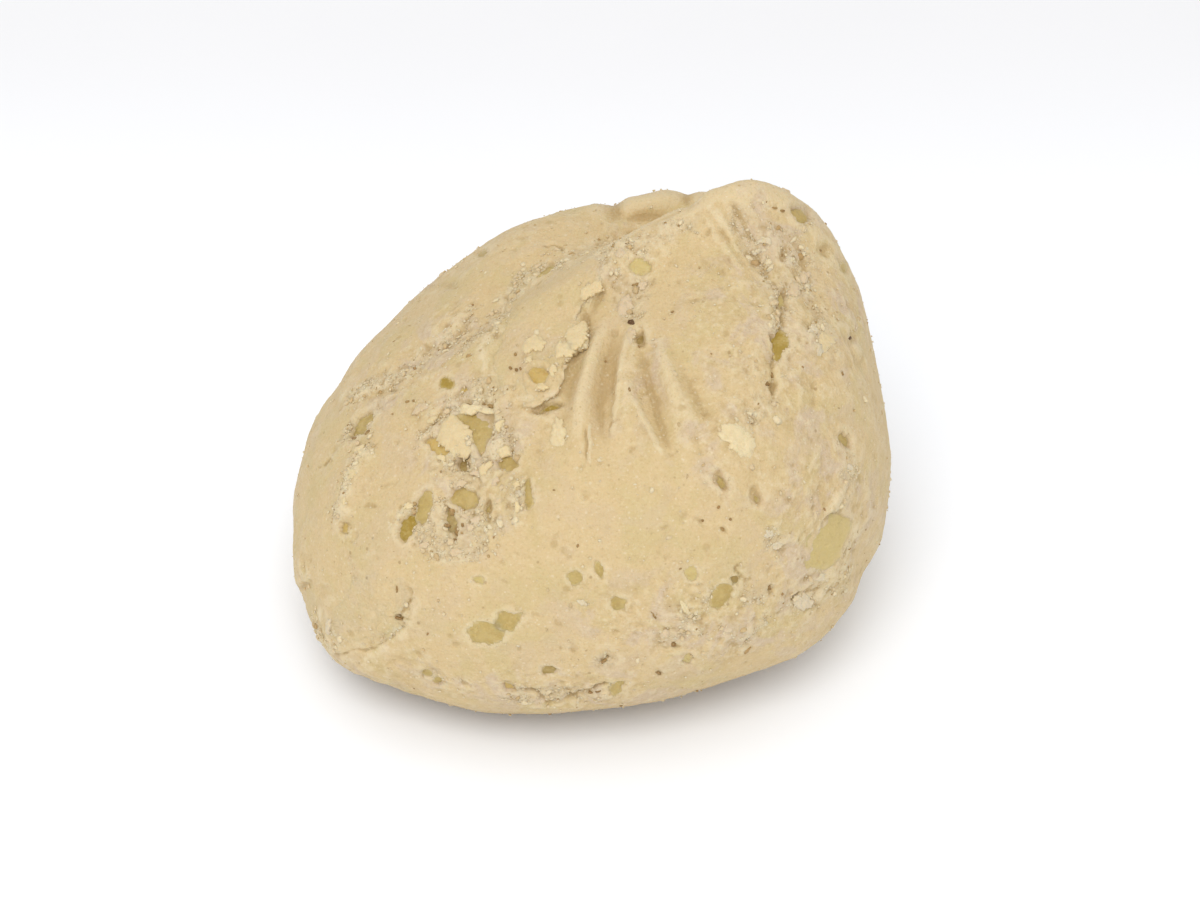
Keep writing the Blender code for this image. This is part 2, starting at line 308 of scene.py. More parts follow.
# paler flaky rims: half width (mm), strength, points
PALE_LINES = (
    (0.50, 0.9, ((367, 445), (356, 462), (350, 482), (345, 500), (340, 524))),
    (0.30, 0.7, ((350, 402), (366, 390), (384, 386), (404, 374))),
    (0.62, 0.9, ((340, 402), (356, 397), (372, 392))),
    (0.22, 0.6, ((629, 325), (622, 350), (618, 378), (616, 412))),
    (0.60, 0.8, ((562, 264), (590, 252), (612, 244), (634, 240))),
    (0.32, 0.9, ((482, 388), (484, 362), (492, 335), (502, 310), (514, 292), (530, 280), (552, 268))),
    (0.40, 0.8, ((806, 352), (807, 334), (818, 319), (832, 325), (840, 338))),
    (0.35, 0.6, ((750, 250), (758, 268), (766, 290), (772, 312))),
    (0.30, 0.9, ((857, 518), (858, 536), (850, 548), (847, 562), (837, 575), (816, 578))),
    (0.30, 0.7, ((744, 652), (752, 636), (764, 620))),
    (0.40, 0.7, ((790, 606), (812, 598), (836, 588))),
    (0.35, 0.8, ((830, 516), (835, 498), (842, 478))),
    (0.35, 0.9, ((326, 604), (327, 622), (333, 636), (348, 643))),
    (0.40, 0.5, ((414, 584), (416, 604), (408, 626), (396, 642), (378, 652), (352, 653))),
    (0.45, 0.9, ((519, 478), (521, 502), (520, 528))),
    (0.45, 0.9, ((484, 474), (491, 456), (499, 440), (500, 416))),
    (0.45, 0.8, ((420, 546), (446, 556), (472, 553))),
    (0.40, 0.8, ((412, 508), (404, 512), (398, 520))),
    (0.30, 0.8, ((454, 407), (470, 402), (496, 405))),
    (0.12, 0.9, ((590, 422), (590, 442), (590, 464))),
    (0.25, 0.6, ((704, 202), (728, 228), (748, 256))),
    (0.20, 0.6, ((664, 456), (650, 430), (638, 408), (628, 394))),
    (0.30, 0.5, ((448, 340), (462, 326), (472, 310))),
    (0.30, 0.6, ((700, 630), (690, 628), (680, 616))),
    (0.25, 0.6, ((412, 580), (415, 600), (402, 616), (407, 630))),
)
# ground that is rough and grainy though not torn: x, y, half length, half width, turn, strength
ROUGH = (
    (775, 320, 90, 150, 0, 1.0),
    (820, 520, 60, 100, 0, 1.0),
    (700, 620, 130, 50, 0, 1.0),
    (560, 690, 160, 24, 0, 0.9),
    (430, 360, 100, 26, 35, 1.0),
    (475, 455, 66, 80, 0, 1.0),
    (640, 250, 60, 34, 20, 0.8),
    (730, 420, 60, 80, 0, 0.8),
    (380, 660, 80, 34, 0, 0.7),
    (650, 380, 40, 80, 0, 0.6),
)
# shallow swells and hollows by the outline: x, y, half length, half width, turn, height (mm)
TRIMS = (
    (716, 686, 84, 24, 14, -0.42),
    (800, 652, 40, 22, 35, 0.30),
    (344, 654, 44, 30, -45, 0.85),
    (868, 572, 20, 50, 18, -0.50),
    (336, 384, 12, 24, -35, -0.38),
    (808, 212, 60, 22, -52, 0.30),
    (708, 192, 13, 10, 0, 0.26),
)
# folds too narrow for the CAD solid: depth (in is negative), half width (mm), x and y of points
FINE_FOLDS = (
    (-0.16, 0.30, ((616, 322), (607, 348), (599, 374), (597, 402), (602, 434), (610, 470))),
    (-0.22, 0.32, ((640, 322), (640, 348), (646, 376), (655, 408), (666, 440), (680, 474))),
    (-0.12, 0.45, ((652, 372), (660, 402), (668, 430), (680, 466))),
    (-0.14, 0.40, ((664, 335), (678, 362), (690, 386), (706, 416), (716, 440))),
    (0.22, 0.22, ((630, 318), (623, 348), (618, 376), (617, 402), (614, 420))),
    (0.22, 0.60, ((609, 296), (604, 330), (594, 354), (583, 382), (577, 417), (568, 470))),
    (0.16, 0.40, ((654, 335), (664, 365), (676, 395), (690, 430))),
    (-0.26, 0.20, ((528, 409), (545, 411), (558, 406))),
    (-0.22, 0.60, ((544, 404), (539, 430), (538, 462), (542, 500))),
    (-0.16, 0.40, ((512, 400), (508, 430), (506, 466), (508, 500))),
    (-0.18, 0.12, ((584, 422), (587, 442), (586, 466))),
    (0.22, 0.12, ((589, 422), (590, 442), (590, 464))),
    (0.26, 0.20, ((664, 458), (650, 430), (638, 408), (628, 392))),
    (0.20, 0.30, ((704, 200), (728, 226), (748, 256))),
    (-0.14, 0.26, ((712, 218), (728, 244), (744, 268), (758, 288))),
    (-0.14, 0.30, ((726, 196), (744, 218), (756, 240))),
    (0.22, 0.28, ((823, 522), (832, 502), (840, 480))),
    (-0.18, 0.40, ((850, 520), (858, 480), (862, 440))),
    (-0.14, 0.30, ((815, 370), (817, 400), (814, 430))),
    (0.14, 0.35, ((800, 370), (800, 410), (796, 440))),
    (-0.20, 0.22, ((836, 322), (850, 346), (862, 368), (872, 392))),
    (0.24, 0.30, ((530, 476), (522, 500), (520, 526))),
    (-0.20, 0.50, ((412, 288), (440, 284), (467, 290), (476, 303))),
    (-0.12, 0.35, ((690, 420), (700, 450), (704, 480))),
)
# cracks: depth, half width (mm), x and y of points
CRACKS = (
    (0.30, 0.12, ((787, 275), (787, 292), (780, 300), (785, 322), (782, 334))),
    (0.34, 0.12, ((778, 348), (774, 370), (776, 387), (774, 403))),
    (0.20, 0.12, ((725, 195), (738, 212), (750, 230), (762, 252), (760, 275))),
    (0.16, 0.07, ((407, 578), (411, 598), (397, 617), (403, 627), (389, 640), (371, 647), (349, 646), (333, 636), (326, 621))),
    (0.20, 0.08, ((396, 584), (397, 594))),
    (0.16, 0.09, ((386, 616), (398, 618), (409, 621))),
    (0.45, 0.13, ((514, 691), (532, 694), (546, 704), (560, 704), (576, 701), (588, 694), (600, 689), (616, 683))),
    (0.40, 0.12, ((467, 319), (461, 330), (449, 341), (437, 353))),
    (0.35, 0.14, ((527, 281), (515, 287), (507, 296), (500, 312))),
    (0.30, 0.12, ((449, 407), (438, 417), (428, 428), (421, 436))),
    (0.25, 0.11, ((792, 602), (799, 594), (812, 590), (826, 587))),
    (0.22, 0.11, ((848, 545), (846, 560), (841, 574))),
    (0.30, 0.10, ((600, 665), (604, 660), (609, 656))),
    (0.25, 0.11, ((326, 646), (345, 658), (370, 676))),
    (0.25, 0.11, ((545, 256), (556, 253), (566, 257))),
    (0.30, 0.10, ((650, 611), (653, 615), (657, 620))),
    (0.20, 0.12, ((740, 560), (738, 572), (746, 582), (754, 574))),
    (0.22, 0.10, ((316, 468), (324, 464), (332, 457))),
)
# small ledges that stand a little proud on the left side of a walk along a ragged line: height, how far back, points
LEDGES = (
    (0.28, 1.3, ((438, 354), (449, 342), (461, 331), (469, 316))),
    (0.36, 1.3, ((374, 440), (360, 456), (350, 477), (346, 490), (336, 522))),
    (0.28, 1.2, ((420, 424), (434, 417), (448, 408), (462, 404))),
    (0.22, 1.2, ((740, 650), (748, 636), (760, 622))),
    (0.20, 1.0, ((704, 628), (690, 624), (680, 612))),
    (0.35, 3.0, ((284, 590), (300, 585), (316, 576))),
    (0.28, 0.8, ((520, 528), (519, 500), (524, 478), (530, 470))),
    (0.26, 0.8, ((476, 516), (484, 496), (493, 478), (502, 464))),
    (0.24, 1.0, ((350, 404), (368, 397), (386, 386), (408, 374))),
    (0.26, 0.9, ((622, 372), (616, 395), (611, 412), (612, 442))),
    (0.24, 1.0, ((834, 330), (820, 319), (808, 335), (808, 356))),
    (0.20, 0.9, ((700, 214), (712, 236), (728, 258), (742, 276))),
    (0.24, 0.8, ((320, 646), (344, 668), (372, 682), (404, 694))),
)
# pits: x, y, half length, half width, turn, depth (mm)
PITS = (
    (546, 405, 15, 5, 12, 0.34),
    (585, 318, 4, 9, 12, 0.20),
    (721, 481, 13, 6, -60, 0.30),
    (756, 496, 11, 6, -60, 0.24),
    (586, 493, 6, 6, 0, 0.12),
    (461, 463, 7, 7, 0, 0.34),
    (487, 405, 8, 4, -15, 0.30),
    (467, 403, 7, 4, 0, 0.28),
    (515, 371, 9, 4, -20, 0.14),
    (640, 336, 4, 8, 8, 0.26),
    (784, 254, 4, 7, -15, 0.26),
    (822, 251, 6, 8, 30, 0.22),
    (803, 214, 10, 6, -35, 0.22),
    (785, 302, 5, 9, 0, 0.25),
    (775, 386, 5, 6, 0, 0.30),
    (487, 509, 4, 10, 10, 0.30),
    (451, 521, 6, 15, -18, 0.18),
    (509, 688, 7, 5, -15, 0.26),
    (723, 530, 2.5, 4, 30, 0.16),
    (703, 520, 3, 3, 0, 0.12),
    (770, 589, 3, 6, 20, 0.26),
    (674, 645, 3, 3, 0, 0.22),
    (659, 675, 5, 3, -30, 0.18),
    (525, 245, 5, 3, 0, 0.10),
    (428, 348, 5, 3, -20, 0.12),
    (401, 508, 3, 3, 0, 0.10),
    (370, 505, 7, 3, 5, 0.10),
    (414, 546, 3, 3, 0, 0.12),
    (345, 526, 4, 5, 0, 0.12),
    (560, 651, 3, 3, 0, 0.10),
    (575, 650, 5, 5, 0, 0.10),
    (845, 441, 5, 8, 10, 0.24),
    (790, 500, 5, 4, 0, 0.12),
    (430, 678, 12, 8, -20, 0.14),
    (687, 660, 6, 5, 0, 0.06),
    (812, 510, 4, 4, 0, 0.10),
    (640, 500, 3, 3, 0, 0.07),
    (668, 560, 3, 4, 0, 0.07),
    (693, 600, 4, 5, 0, 0.07),
    (870, 330, 4, 6, 0, 0.10),
    (852, 337, 4, 5, 0, 0.18),
    (500, 362, 12, 8, 60, 0.12),
    (325, 590, 8, 6, 0, 0.10),
    (346, 608, 12, 8, 0, 0.12),
)
# a chip's outline is its corners, or for a small one the x, y, half length, half width and turn of an oval
# chestnut bits set in the paste: outline, kind (0 yellow, 1 olive, 2 amber, 3 pale, 4 dark olive), sunk by (mm), how much paste is smeared on it
BITS = (
    (((799, 556), (802, 543), (811, 534), (820, 529), (823, 520), (833, 514), (846, 515), (853, 522), (852, 534), (845, 543), (841, 557), (832, 567), (818, 571), (806, 567)), 3, 0.03, 0.1),
    (((709, 607), (714, 592), (722, 584), (731, 583), (735, 590), (728, 601), (718, 611)), 1, 0.03, 0.2),
    ((735, 580, 5, 5, 0), 4, 0.15, 0.0),
    (((496, 619), (502, 611), (511, 614), (524, 613), (518, 624), (511, 631), (501, 630), (494, 627)), 1, 0.03, 0.2),
    (((467, 633), (473, 625), (484, 621), (495, 624), (505, 632), (502, 640), (488, 645), (474, 643)), 1, 0.03, 0.2),
    (((396, 533), (400, 517), (408, 511), (416, 510), (416, 522), (411, 533), (404, 543), (398, 540)), 0, 0.20, 0.0),
    (((417, 500), (423, 489), (431, 491), (431, 505), (426, 520), (418, 526), (414, 516)), 1, 0.08, 0.1),
    (((447, 498), (452, 489), (462, 486), (474, 491), (479, 498), (474, 509), (464, 510), (455, 505)), 1, 0.10, 0.1),
    ((450, 520, 17, 6, -72), 4, 0.12, 0.5),
    (((451, 416), (466, 410), (494, 411), (493, 430), (487, 443), (480, 457), (474, 446), (468, 433), (459, 424)), 1, 0.12, 0.1),
    (((423, 440), (431, 435), (442, 438), (449, 450), (443, 457), (431, 451)), 2, 0.12, 0.1),
    (((454, 460), (462, 454), (468, 457), (467, 469), (457, 472)), 4, 0.34, 0.0),
    (((496, 462), (503, 455), (512, 457), (518, 465), (511, 470), (499, 468)), 1, 0.10, 0.1),
    (((522, 492), (524, 480), (529, 476), (532, 490), (533, 503), (528, 510), (524, 502)), 1, 0.16, 0.3),
    (((527, 373), (533, 368), (545, 369), (550, 375), (544, 383), (537, 386), (532, 381)), 2, 0.16, 0.1),
    (((346, 440), (350, 426), (359, 415), (371, 408), (373, 418), (362, 432)), 1, 0.14, 0.0),
    (((629, 265), (636, 257), (650, 259), (652, 270), (642, 276), (631, 272)), 3, 0.04, 0.2),
    (((770, 334), (779, 328), (789, 334), (788, 348), (781, 354), (776, 366), (773, 350)), 0, 0.10, 0.0),
    (((611, 600), (616, 597), (626, 600), (625, 609), (616, 612), (611, 607)), 1, 0.04, 0.0),
    ((600, 571, 10, 4, -68), 1, 0.05, 0.0),
    ((575, 577, 7, 7, 0), 1, 0.05, 0.2),
    (((609, 691), (616, 682), (625, 682), (622, 692), (614, 698)), 1, 0.06, 0.0),
    ((549, 671, 9, 5, 10), 4, 0.04, 0.1),
    ((446, 383, 8, 5, -20), 0, 0.08, 0.1),
    ((846, 441, 9, 5, -60), 1, 0.10, 0.0),
    ((546, 269, 12, 4, 35), 1, 0.12, 0.1),
    ((482, 253, 6, 4, 20), 1, 0.08, 0.1),
    ((803, 214, 12, 7, -35), 1, 0.06, 0.2),
    ((487, 509, 9, 3, 80), 1, 0.18, 0.0),
    ((343, 527, 4, 6, 10), 2, 0.08, 0.3),
    ((478, 580, 5, 4, 0), 3, 0.05, 0.4),
    ((426, 674, 6, 4, -20), 1, 0.08, 0.3),
    ((437, 682, 5, 4, 20), 1, 0.08, 0.3),
    ((687, 660, 6, 5, 0), 3, 0.04, 0.4),
    ((640, 337, 7, 4, 85), 4, 0.20, 0.0),
    ((509, 688, 6, 4, -15), 2, 0.16, 0.4),
    ((806, 604, 10, 5, -10), 3, 0.08, 0.5),
    ((463, 389, 4, 3, 0), 2, 0.05, 0.2),
    ((781, 300, 9, 4, 75), 3, 0.08, 0.5),
    ((845, 268, 5, 6, 0), 1, 0.05, 0.5),
    ((692, 574, 6, 8, 0), 3, 0.03, 0.6),
    # a thin dark yellow bit in the gap under the flap's lower edge, standing in for the dark shade there: painted shade
    ((550, 407, 10, 3, 14), 0, 0.12, 0.0),
    ((722, 482, 10, 4, -58), 1, 0.10, 0.3),
    ((757, 497, 7, 4, -70), 1, 0.07, 0.6),
)
# pale flakes of drier paste on the skin: outline, height (mm), kind (0 cream, 1 paler, 2 pinkish, 3 smooth and yellower)
FLAKES = (
    (((719, 434), (723, 426), (734, 424), (745, 429), (755, 436), (756, 443), (753, 449), (757, 458), (749, 463), (741, 457), (733, 450), (729, 442), (723, 441)), 0.42, 0),
    (((553, 426), (556, 416), (561, 420), (566, 430), (565, 443), (558, 448), (551, 444)), 0.34, 0),
    (((566, 330), (572, 326), (578, 328), (586, 322), (588, 335), (585, 346), (578, 351), (568, 349)), 0.26, 3),
    (((553, 351), (560, 344), (571, 346), (574, 354), (566, 361), (556, 361)), 0.22, 3),
    (((434, 426), (439, 418), (449, 413), (459, 418), (467, 426), (471, 438), (470, 450), (464, 456), (454, 455), (446, 449), (439, 442), (434, 434)), 0.36, 3),
    (((454, 410), (464, 404), (478, 406), (494, 408), (492, 413), (478, 412), (464, 414)), 0.24, 0),
    (((494, 451), (500, 445), (508, 448), (511, 455), (502, 457)), 0.26, 3),
    (((519, 348), (528, 341), (538, 337), (546, 344), (547, 351), (536, 354), (524, 355)), 0.24, 3),
    ((583, 603, 4, 3, -30), 0.12, 1),
    (((792, 604), (796, 597), (805, 594), (814, 600), (812, 608), (802, 611)), 0.20, 1),
    (((615, 300), (622, 294), (632, 297), (634, 306), (628, 318), (618, 315)), 0.20, 2),
    ((641, 286, 6, 4, 0), 0.18, 2),
    ((630, 334, 4, 9, 10), 0.16, 2),
    ((822, 577, 7, 5, 20), 0.20, 1),
    (((578, 288), (590, 286), (601, 282), (602, 292), (592, 298), (582, 302)), 0.22, 3),
    ((850, 468, 4, 4, 0), 0.16, 1),
    ((408, 507, 7, 3, 20), 0.22, 3),
    ((425, 545, 7, 4, 10), 0.20, 2),
    ((329, 626, 3, 8, -12), 0.22, 1),
    ((470, 527, 7, 4, 0), 0.20, 2),
    ((462, 513, 9, 3.5, -40), 0.20, 2),
    ((765, 240, 6, 4, 0), 0.18, 1),
    ((757, 252, 6, 3, 40), 0.18, 1),
    ((478, 472, 8, 6, 20), 0.18, 2),
    ((440, 457, 6, 3, -40), 0.14, 3),
    ((422, 410, 11, 5, 20), 0.18, 2),
    ((812, 330, 5, 4, 0), 0.18, 1),
    ((820, 350, 4, 5, 0), 0.16, 1),
    (((811, 336), (818, 320), (830, 324), (838, 338), (830, 346), (819, 352)), 0.14, 3),
    ((770, 534, 8, 5, 20), 0.16, 1),
    ((778, 545, 6, 4, 0), 0.14, 1),
    ((604, 656, 6, 3, 30), 0.14, 0),
    ((664, 634, 5, 4, 0), 0.16, 2),
    ((685, 608, 9, 3, -60), 0.14, 0),
    ((553, 373, 4, 8, 8), 0.24, 3),
    ((541, 389, 8, 3.5, -12), 0.20, 3),
    ((529, 364, 7, 3, 35), 0.18, 3),
    ((620, 252, 6, 5, 0), 0.16, 2),
    ((484, 470, 9, 5, 50), 0.26, 3),
    ((494, 482, 6, 4, 10), 0.20, 2),
    ((500, 425, 7, 4, 70), 0.22, 3),
    ((518, 486, 7, 4, 80), 0.24, 3),
    ((519, 508, 6, 3.5, 70), 0.22, 3),
    ((352, 474, 4, 7, -14), 0.16, 3),
    ((345, 502, 4, 7, -10), 0.14, 3),
    ((362, 452, 6, 4, 40), 0.16, 3),
    ((460, 483, 7, 3.5, 20), 0.16, 2),
    ((476, 520, 6, 5, 0), 0.20, 2),
    ((454, 552, 10, 4, 5), 0.18, 2),
    ((432, 418, 8, 4, 40), 0.16, 3),
    ((805, 276, 7, 6, 30), 0.16, 2),
    ((794, 290, 6, 8, 0), 0.16, 2),
)
# thin sheets of paste that lie over what is below: corners, thickness, how far each stands up, on the flap, and how free its edge is by direction
# (degrees from sheet right, turning up). Where it isn't free it sinks into the skin.
SHEETS = (
    (((606, 252), (601, 270), (602, 286), (592, 297), (581, 301), (579, 312), (575, 321), (586, 325), (587, 345), (574, 353), (566, 361), (564, 378), (558, 393), (545, 400), (537, 406), (515, 404), (494, 398), (480, 386), (480, 366), (484, 350), (491, 332), (496, 318), (505, 303), (510, 292), (524, 281), (539, 276), (552, 267), (576, 264), (590, 256)), 0.80, 0.26, True, ((-180, 0.0), (-115, 0.0), (-92, 0.5), (-80, 1.0), (40, 1.0), (62, 0.7), (90, 0.3), (140, 0.5), (165, 0.2))),
    (((344, 566), (360, 556), (382, 556), (398, 566), (408, 580), (411, 598), (397, 614), (402, 627), (389, 638), (371, 646), (350, 645), (335, 637), (326, 622), (326, 606), (331, 582)), 0.16, 0.015, False, ((-180, 0.0), (-165, 0.7), (-150, 1.0), (10, 1.0), (35, 0.7), (60, 0.0), (120, 0.0))),
)
# a raised rim of paste around the amber bit on the flap: x, y, half length, half width, turn
RIM = (539, 376, 12, 9, -10)
# bits of the nut's brown inner skin: x, y, half length, half width, turn
SKINS = (
    (447, 507, 5, 2.2, -70), (451, 516, 4, 2, -60), (457, 531, 7, 4, -75), (446, 525, 3, 2, 0),
    (631, 322, 3.2, 3.2, 0), (653.5, 615.5, 5.5, 1.1, -55), (674, 645, 2.3, 2.3, 0),
    (517, 357, 1.6, 1.6, 0), (512, 370, 1.8, 1.4, 0), (518, 372, 1.6, 1.6, 0), (522, 371, 1.3, 1.4, 0),
    (770, 588, 2, 5, 20), (723, 530, 1.6, 3.2, 25), (730, 519, 1.5, 1.6, 0), (703, 521, 1.5, 1.5, 0),
    (637, 284, 5, 1.6, 10), (643, 287, 2, 1.6, 0), (541, 694, 2, 1.4, 0), (590, 693, 2.5, 1.2, 0), (598, 692, 3, 1.2, 10), (489, 405, 4, 2, -15), (483, 404, 3, 1.6, 0), (467, 403, 3, 1.4, 0),
    (606, 361, 1.4, 1.4, 0), (629, 390, 1.2, 2.2, 20), (775, 208, 3, 1.4, 0), (782, 211, 3, 1.4, 0), (759, 251, 3, 2, 20), (783, 255, 1.6, 3.4, -15), (822, 250, 2.6, 1.6, 0),
    (767, 384, 2.6, 2.2, 0), (604, 661, 3.5, 1.2, 35), (658, 674, 4, 1.4, -30), (414, 401, 2, 1.2, 0), (397, 589, 1.0, 4, 0), (398, 618, 5, 1.2, -8), (367, 432, 4, 1.6, 40), (354, 438, 3, 1.6, 0), (852, 337, 1.6, 2, 0), (842, 374, 1.0, 2.4, 20),
    (470, 629, 1.2, 1.2, 0), (408, 402, 2.4, 1.2, 20), (462, 525, 1.6, 2.4, 0), (454, 540, 2.4, 1.6, 10), (773, 374, 1.4, 3.6, 0),
)
# what the eye point can't see has the same kinds of things, thinly scattered
HIDDEN_BITS = 26
HIDDEN_FLAKES = 22
HIDDEN_SKINS = 34
LARGE_CRUMBS = 1500
GRAINS = 8000

rng = np.random.default_rng(20261)


# ---------------------------------------------------------------------------------------------------------------------
# the skin of the lump
# ---------------------------------------------------------------------------------------------------------------------
def cloth_marks(x, t):
    move = np.zeros(len(x))
    for depth, half_width, deepest, points in MARKS:
        away, share, _ = beside(x, t, points)
        strength = soft_step(0, deepest, share) * soft_step(0, 1 - deepest, 1 - share)
        move += depth * np.exp(-((away / half_width) ** 2)) * strength
    height, edge, back, points = BACK_SHEET
    away, share, side = beside(x, t, points)
    on = away * side
    strength = soft_step(0, 0.25, share) * soft_step(0, 0.25, 1 - share)
    move += height * soft_step(-edge, edge, on) * np.exp(-((np.maximum(on, 0) / back) ** 2)) * strength
    height, cx, ct, radius = THUMB_LOBE
    move += height * np.exp(-(((x - cx) ** 2 + (t - ct) ** 2) / radius**2) ** 2)
    return move


def blob(x, t, place):
    """Distance from an oval on the sheet, where 1 is its edge."""
    bx, by, half_length, half_width, turn = place[:5]
    cx, ct = at(bx, by)
    c, s = math.cos(math.radians(turn)), math.sin(math.radians(turn))
    a = ((x - cx) * c + (t - ct) * s) / (half_length * SHEET_MM)
    b = ((t - ct) * c - (x - cx) * s) / (half_width * SHEET_MM)
    return np.hypot(a, b)


def vertex_normals(p, quads):
    across = np.cross(p[quads[:, 2]] - p[quads[:, 0]], p[quads[:, 3]] - p[quads[:, 1]])
    total = np.zeros_like(p)
    for corner in range(4):
        for k in range(3):
            total[:, k] += np.bincount(quads[:, corner], across[:, k], len(p))
    return unit(total)


u, quads = cube_sphere(CELLS)
u = gathered(u)
base = mound(u)
base_normal = mound_normal(u)
facing = soft_step(0.02, 0.35, base_normal @ TO_EYE)
x, t = sketch(base)
sheet_right = unit(np.cross(SKETCH_UP, TO_EYE)[None])[0]

# ragged lines: what is crisp is drawn on a slightly shaken sheet
rx = x + 0.16 * noise(base, 1.1, 31) + 0.10 * noise(base, 0.45, 32)
rt = t + 0.16 * noise(base, 1.1, 33) + 0.10 * noise(base, 0.45, 34)

calm = cloth_marks(x, t) * facing
for depth, size, pattern in SWELL:
    calm = calm + depth * noise(base, size, pattern)
# the second tip is a low crest with a dip on its left
calm += (0.34 * np.exp(-(blob(x, t, (664, 202, 14, 12, 0)) ** 2)) - 0.66 * np.exp(-(blob(x, t, (614, 207, 11, 12, 0)) ** 2)) - 0.25 * np.exp(-(blob(x, t, (687, 199, 6, 8, 0)) ** 2))) * soft_step(-0.3, 0.1, base_normal @ TO_EYE)
calm -= 0.55 * np.exp(-(blob(x, t, (644, 215, 26, 7, 6)) ** 2)) * facing
for place in TRIMS:
    calm += place[5] * np.exp(-(blob(x, t, place) ** 2)) * soft_step(-0.9, -0.4, base_normal @ TO_EYE)

# the flap drops at its free edge; spread out, it carries the thin sheet that overhangs the drop
height, edge, back, points = FLAP
away, share, side = beside(rx, rt, points)
on = away * side
strength = soft_step(0, 0.22, share) * soft_step(0, 0.22, 1 - share) * facing
flap_rise = height * soft_step(-0.22, 0.22, on) * np.exp(-((np.maximum(on, 0) / back) ** 2)) * strength
smooth_away, share, side = beside(x, t, points)
smooth_on = smooth_away * side
strength = soft_step(0, 0.22, share) * soft_step(0, 0.22, 1 - share) * facing
spread_rise = height * soft_step(-1.9, -0.9, smooth_on) * np.exp(-((np.maximum(smooth_on, 0) / back) ** 2)) * strength
calm_skin = base + base_normal * (calm + flap_rise)[:, None]
spread_skin = base + base_normal * (calm + spread_rise)[:, None]

# torn ground
torn_field = np.zeros(len(base))
for place in TORN:
    torn_field = np.maximum(torn_field, place[5] * np.exp(-(blob(rx, rt, place) ** 2) * 0.8) * facing)
lined = np.zeros(len(base))
for half_width, strength, line in TORN_LINES:
    away, share, _ = beside(rx, rt, [at(*xy) for xy in line])
    lined = np.maximum(lined, strength * np.exp(-((away / half_width) ** 2)) * facing * soft_step(-0.5, 0.3, noise(base, 1.6, 74)))
torn_field = np.maximum(torn_field, 0.80 * lined)
wild = soft_step(0.30, 0.75, noise(base, 8.0, 41) + 0.35 * noise(base, 3.0, 42))
torn_field = np.maximum(torn_field, 0.62 * wild * (1 - 0.75 * facing))
torn = soft_step(0.34, 0.60, torn_field + 0.24 * noise(base, 1.5, 43) + 0.18 * noise(base, 0.6, 44))
big_scale, big_gap = scales(base + 0.25 * np.stack([noise(base, 0.8, 45), noise(base, 0.8, 46), noise(base, 0.8, 47)], 1), 1.35, 48)
small_scale, small_gap = scales(base + 0.10 * np.stack([noise(base, 0.4, 49), noise(base, 0.4, 50), noise(base, 0.4, 51)], 1), 0.60, 52)
deep = soft_step(0.75, 1.0, torn_field)
move = calm + flap_rise
move += torn * (0.55 + 0.45 * deep) * (-0.10 + 0.24 * (big_scale - 0.45) + 0.14 * (small_scale - 0.5) - 0.07 * np.exp(-((big_gap / 0.10) ** 2)) + 0.06 * noise(base, 0.33, 53))

for height, back, line in LEDGES:
    away, share, side = beside(rx, rt, [at(*xy) for xy in line])
    on = away * side
    strength = soft_step(0, 0.2, share) * soft_step(0, 0.2, 1 - share) * facing
    move += height * soft_step(-0.10, 0.10, on) * np.exp(-((np.maximum(on, 0) / back) ** 2)) * strength * (0.6 + 0.4 * soft_step(-0.3, 0.3, noise(base, 0.9, 54)))

crack = np.zeros(len(base))
for depth, half_width, line in CRACKS:
    away, share, _ = beside(rx, rt, [at(*xy) for xy in line])
    strength = soft_step(0, 0.15, share) * soft_step(0, 0.15, 1 - share) * facing * (0.55 + 0.45 * soft_step(-0.2, 0.3, noise(base, 0.7, 55)))
    here = np.exp(-((away / half_width) ** 2)) * strength
    crack = np.maximum(crack, here)
    move -= depth * here

for place in PITS:
    move -= place[5] * soft_step(1.3, 0.5, blob(rx, rt, place) + 0.25 * noise(base, 0.5, 56)) * facing

# small pocks and grain everywhere
rough = np.zeros(len(base))
for place in ROUGH:
    rough = np.maximum(rough, place[5] * np.exp(-(blob(rx, rt, place) ** 2)) * facing)
rough = np.maximum(rough, 0.75 * soft_step(-0.1, 0.5, noise(base, 7.0, 63)) * (1 - facing))
rough = soft_step(0.12, 0.75, rough + 0.18 * noise(base, 2.4, 64))
tiny_scale, tiny_gap = scales(base + 0.12 * np.stack([noise(base, 0.5, 65), noise(base, 0.5, 66), noise(base, 0.5, 67)], 1), 0.85, 68)
move += rough * (0.075 * noise(base, 1.1, 69) + 0.060 * noise(base, 0.5, 70) + 0.035 * noise(base, 0.28, 73) + 0.07 * (tiny_scale - 0.5))
for depth, half_width, line in FINE_FOLDS:
    away, share, _ = beside(x + 0.4 * (rx - x), t + 0.4 * (rt - t), [at(*xy) for xy in line])
    strength = soft_step(0, 0.30, share) * soft_step(0, 0.45, 1 - share) * facing
    move += depth * np.exp(-((away / half_width) ** 2)) * strength
move += lined * (0.06 + 0.10 * noise(base, 0.55, 75) + 0.07 * noise(base, 0.3, 76))
pale = np.zeros(len(base))
for half_width, strength, line in PALE_LINES:
    away, share, _ = beside(rx, rt, [at(*xy) for xy in line])
    pale = np.maximum(pale, strength * np.exp(-((away / half_width) ** 2)) * facing * soft_step(0, 0.12, share) * soft_step(0, 0.12, 1 - share) * soft_step(-0.5, 0.2, noise(base, 0.8, 78)))
move += 0.11 * pale
pock = soft_step(0.40, 0.62, noise(base, 0.75, 57) * 0.6 + noise(base, 1.7, 58) * 0.5)
move -= 0.09 * pock
move += 0.045 * noise(base, 2.1, 59) + 0.032 * noise(base, 0.95, 60) + 0.022 * noise(base, 0.45, 61) + 0.014 * noise(base, 0.26, 62)

plain_skin = base + base_normal * move[:, None]
xs, ts = sketch(plain_skin)


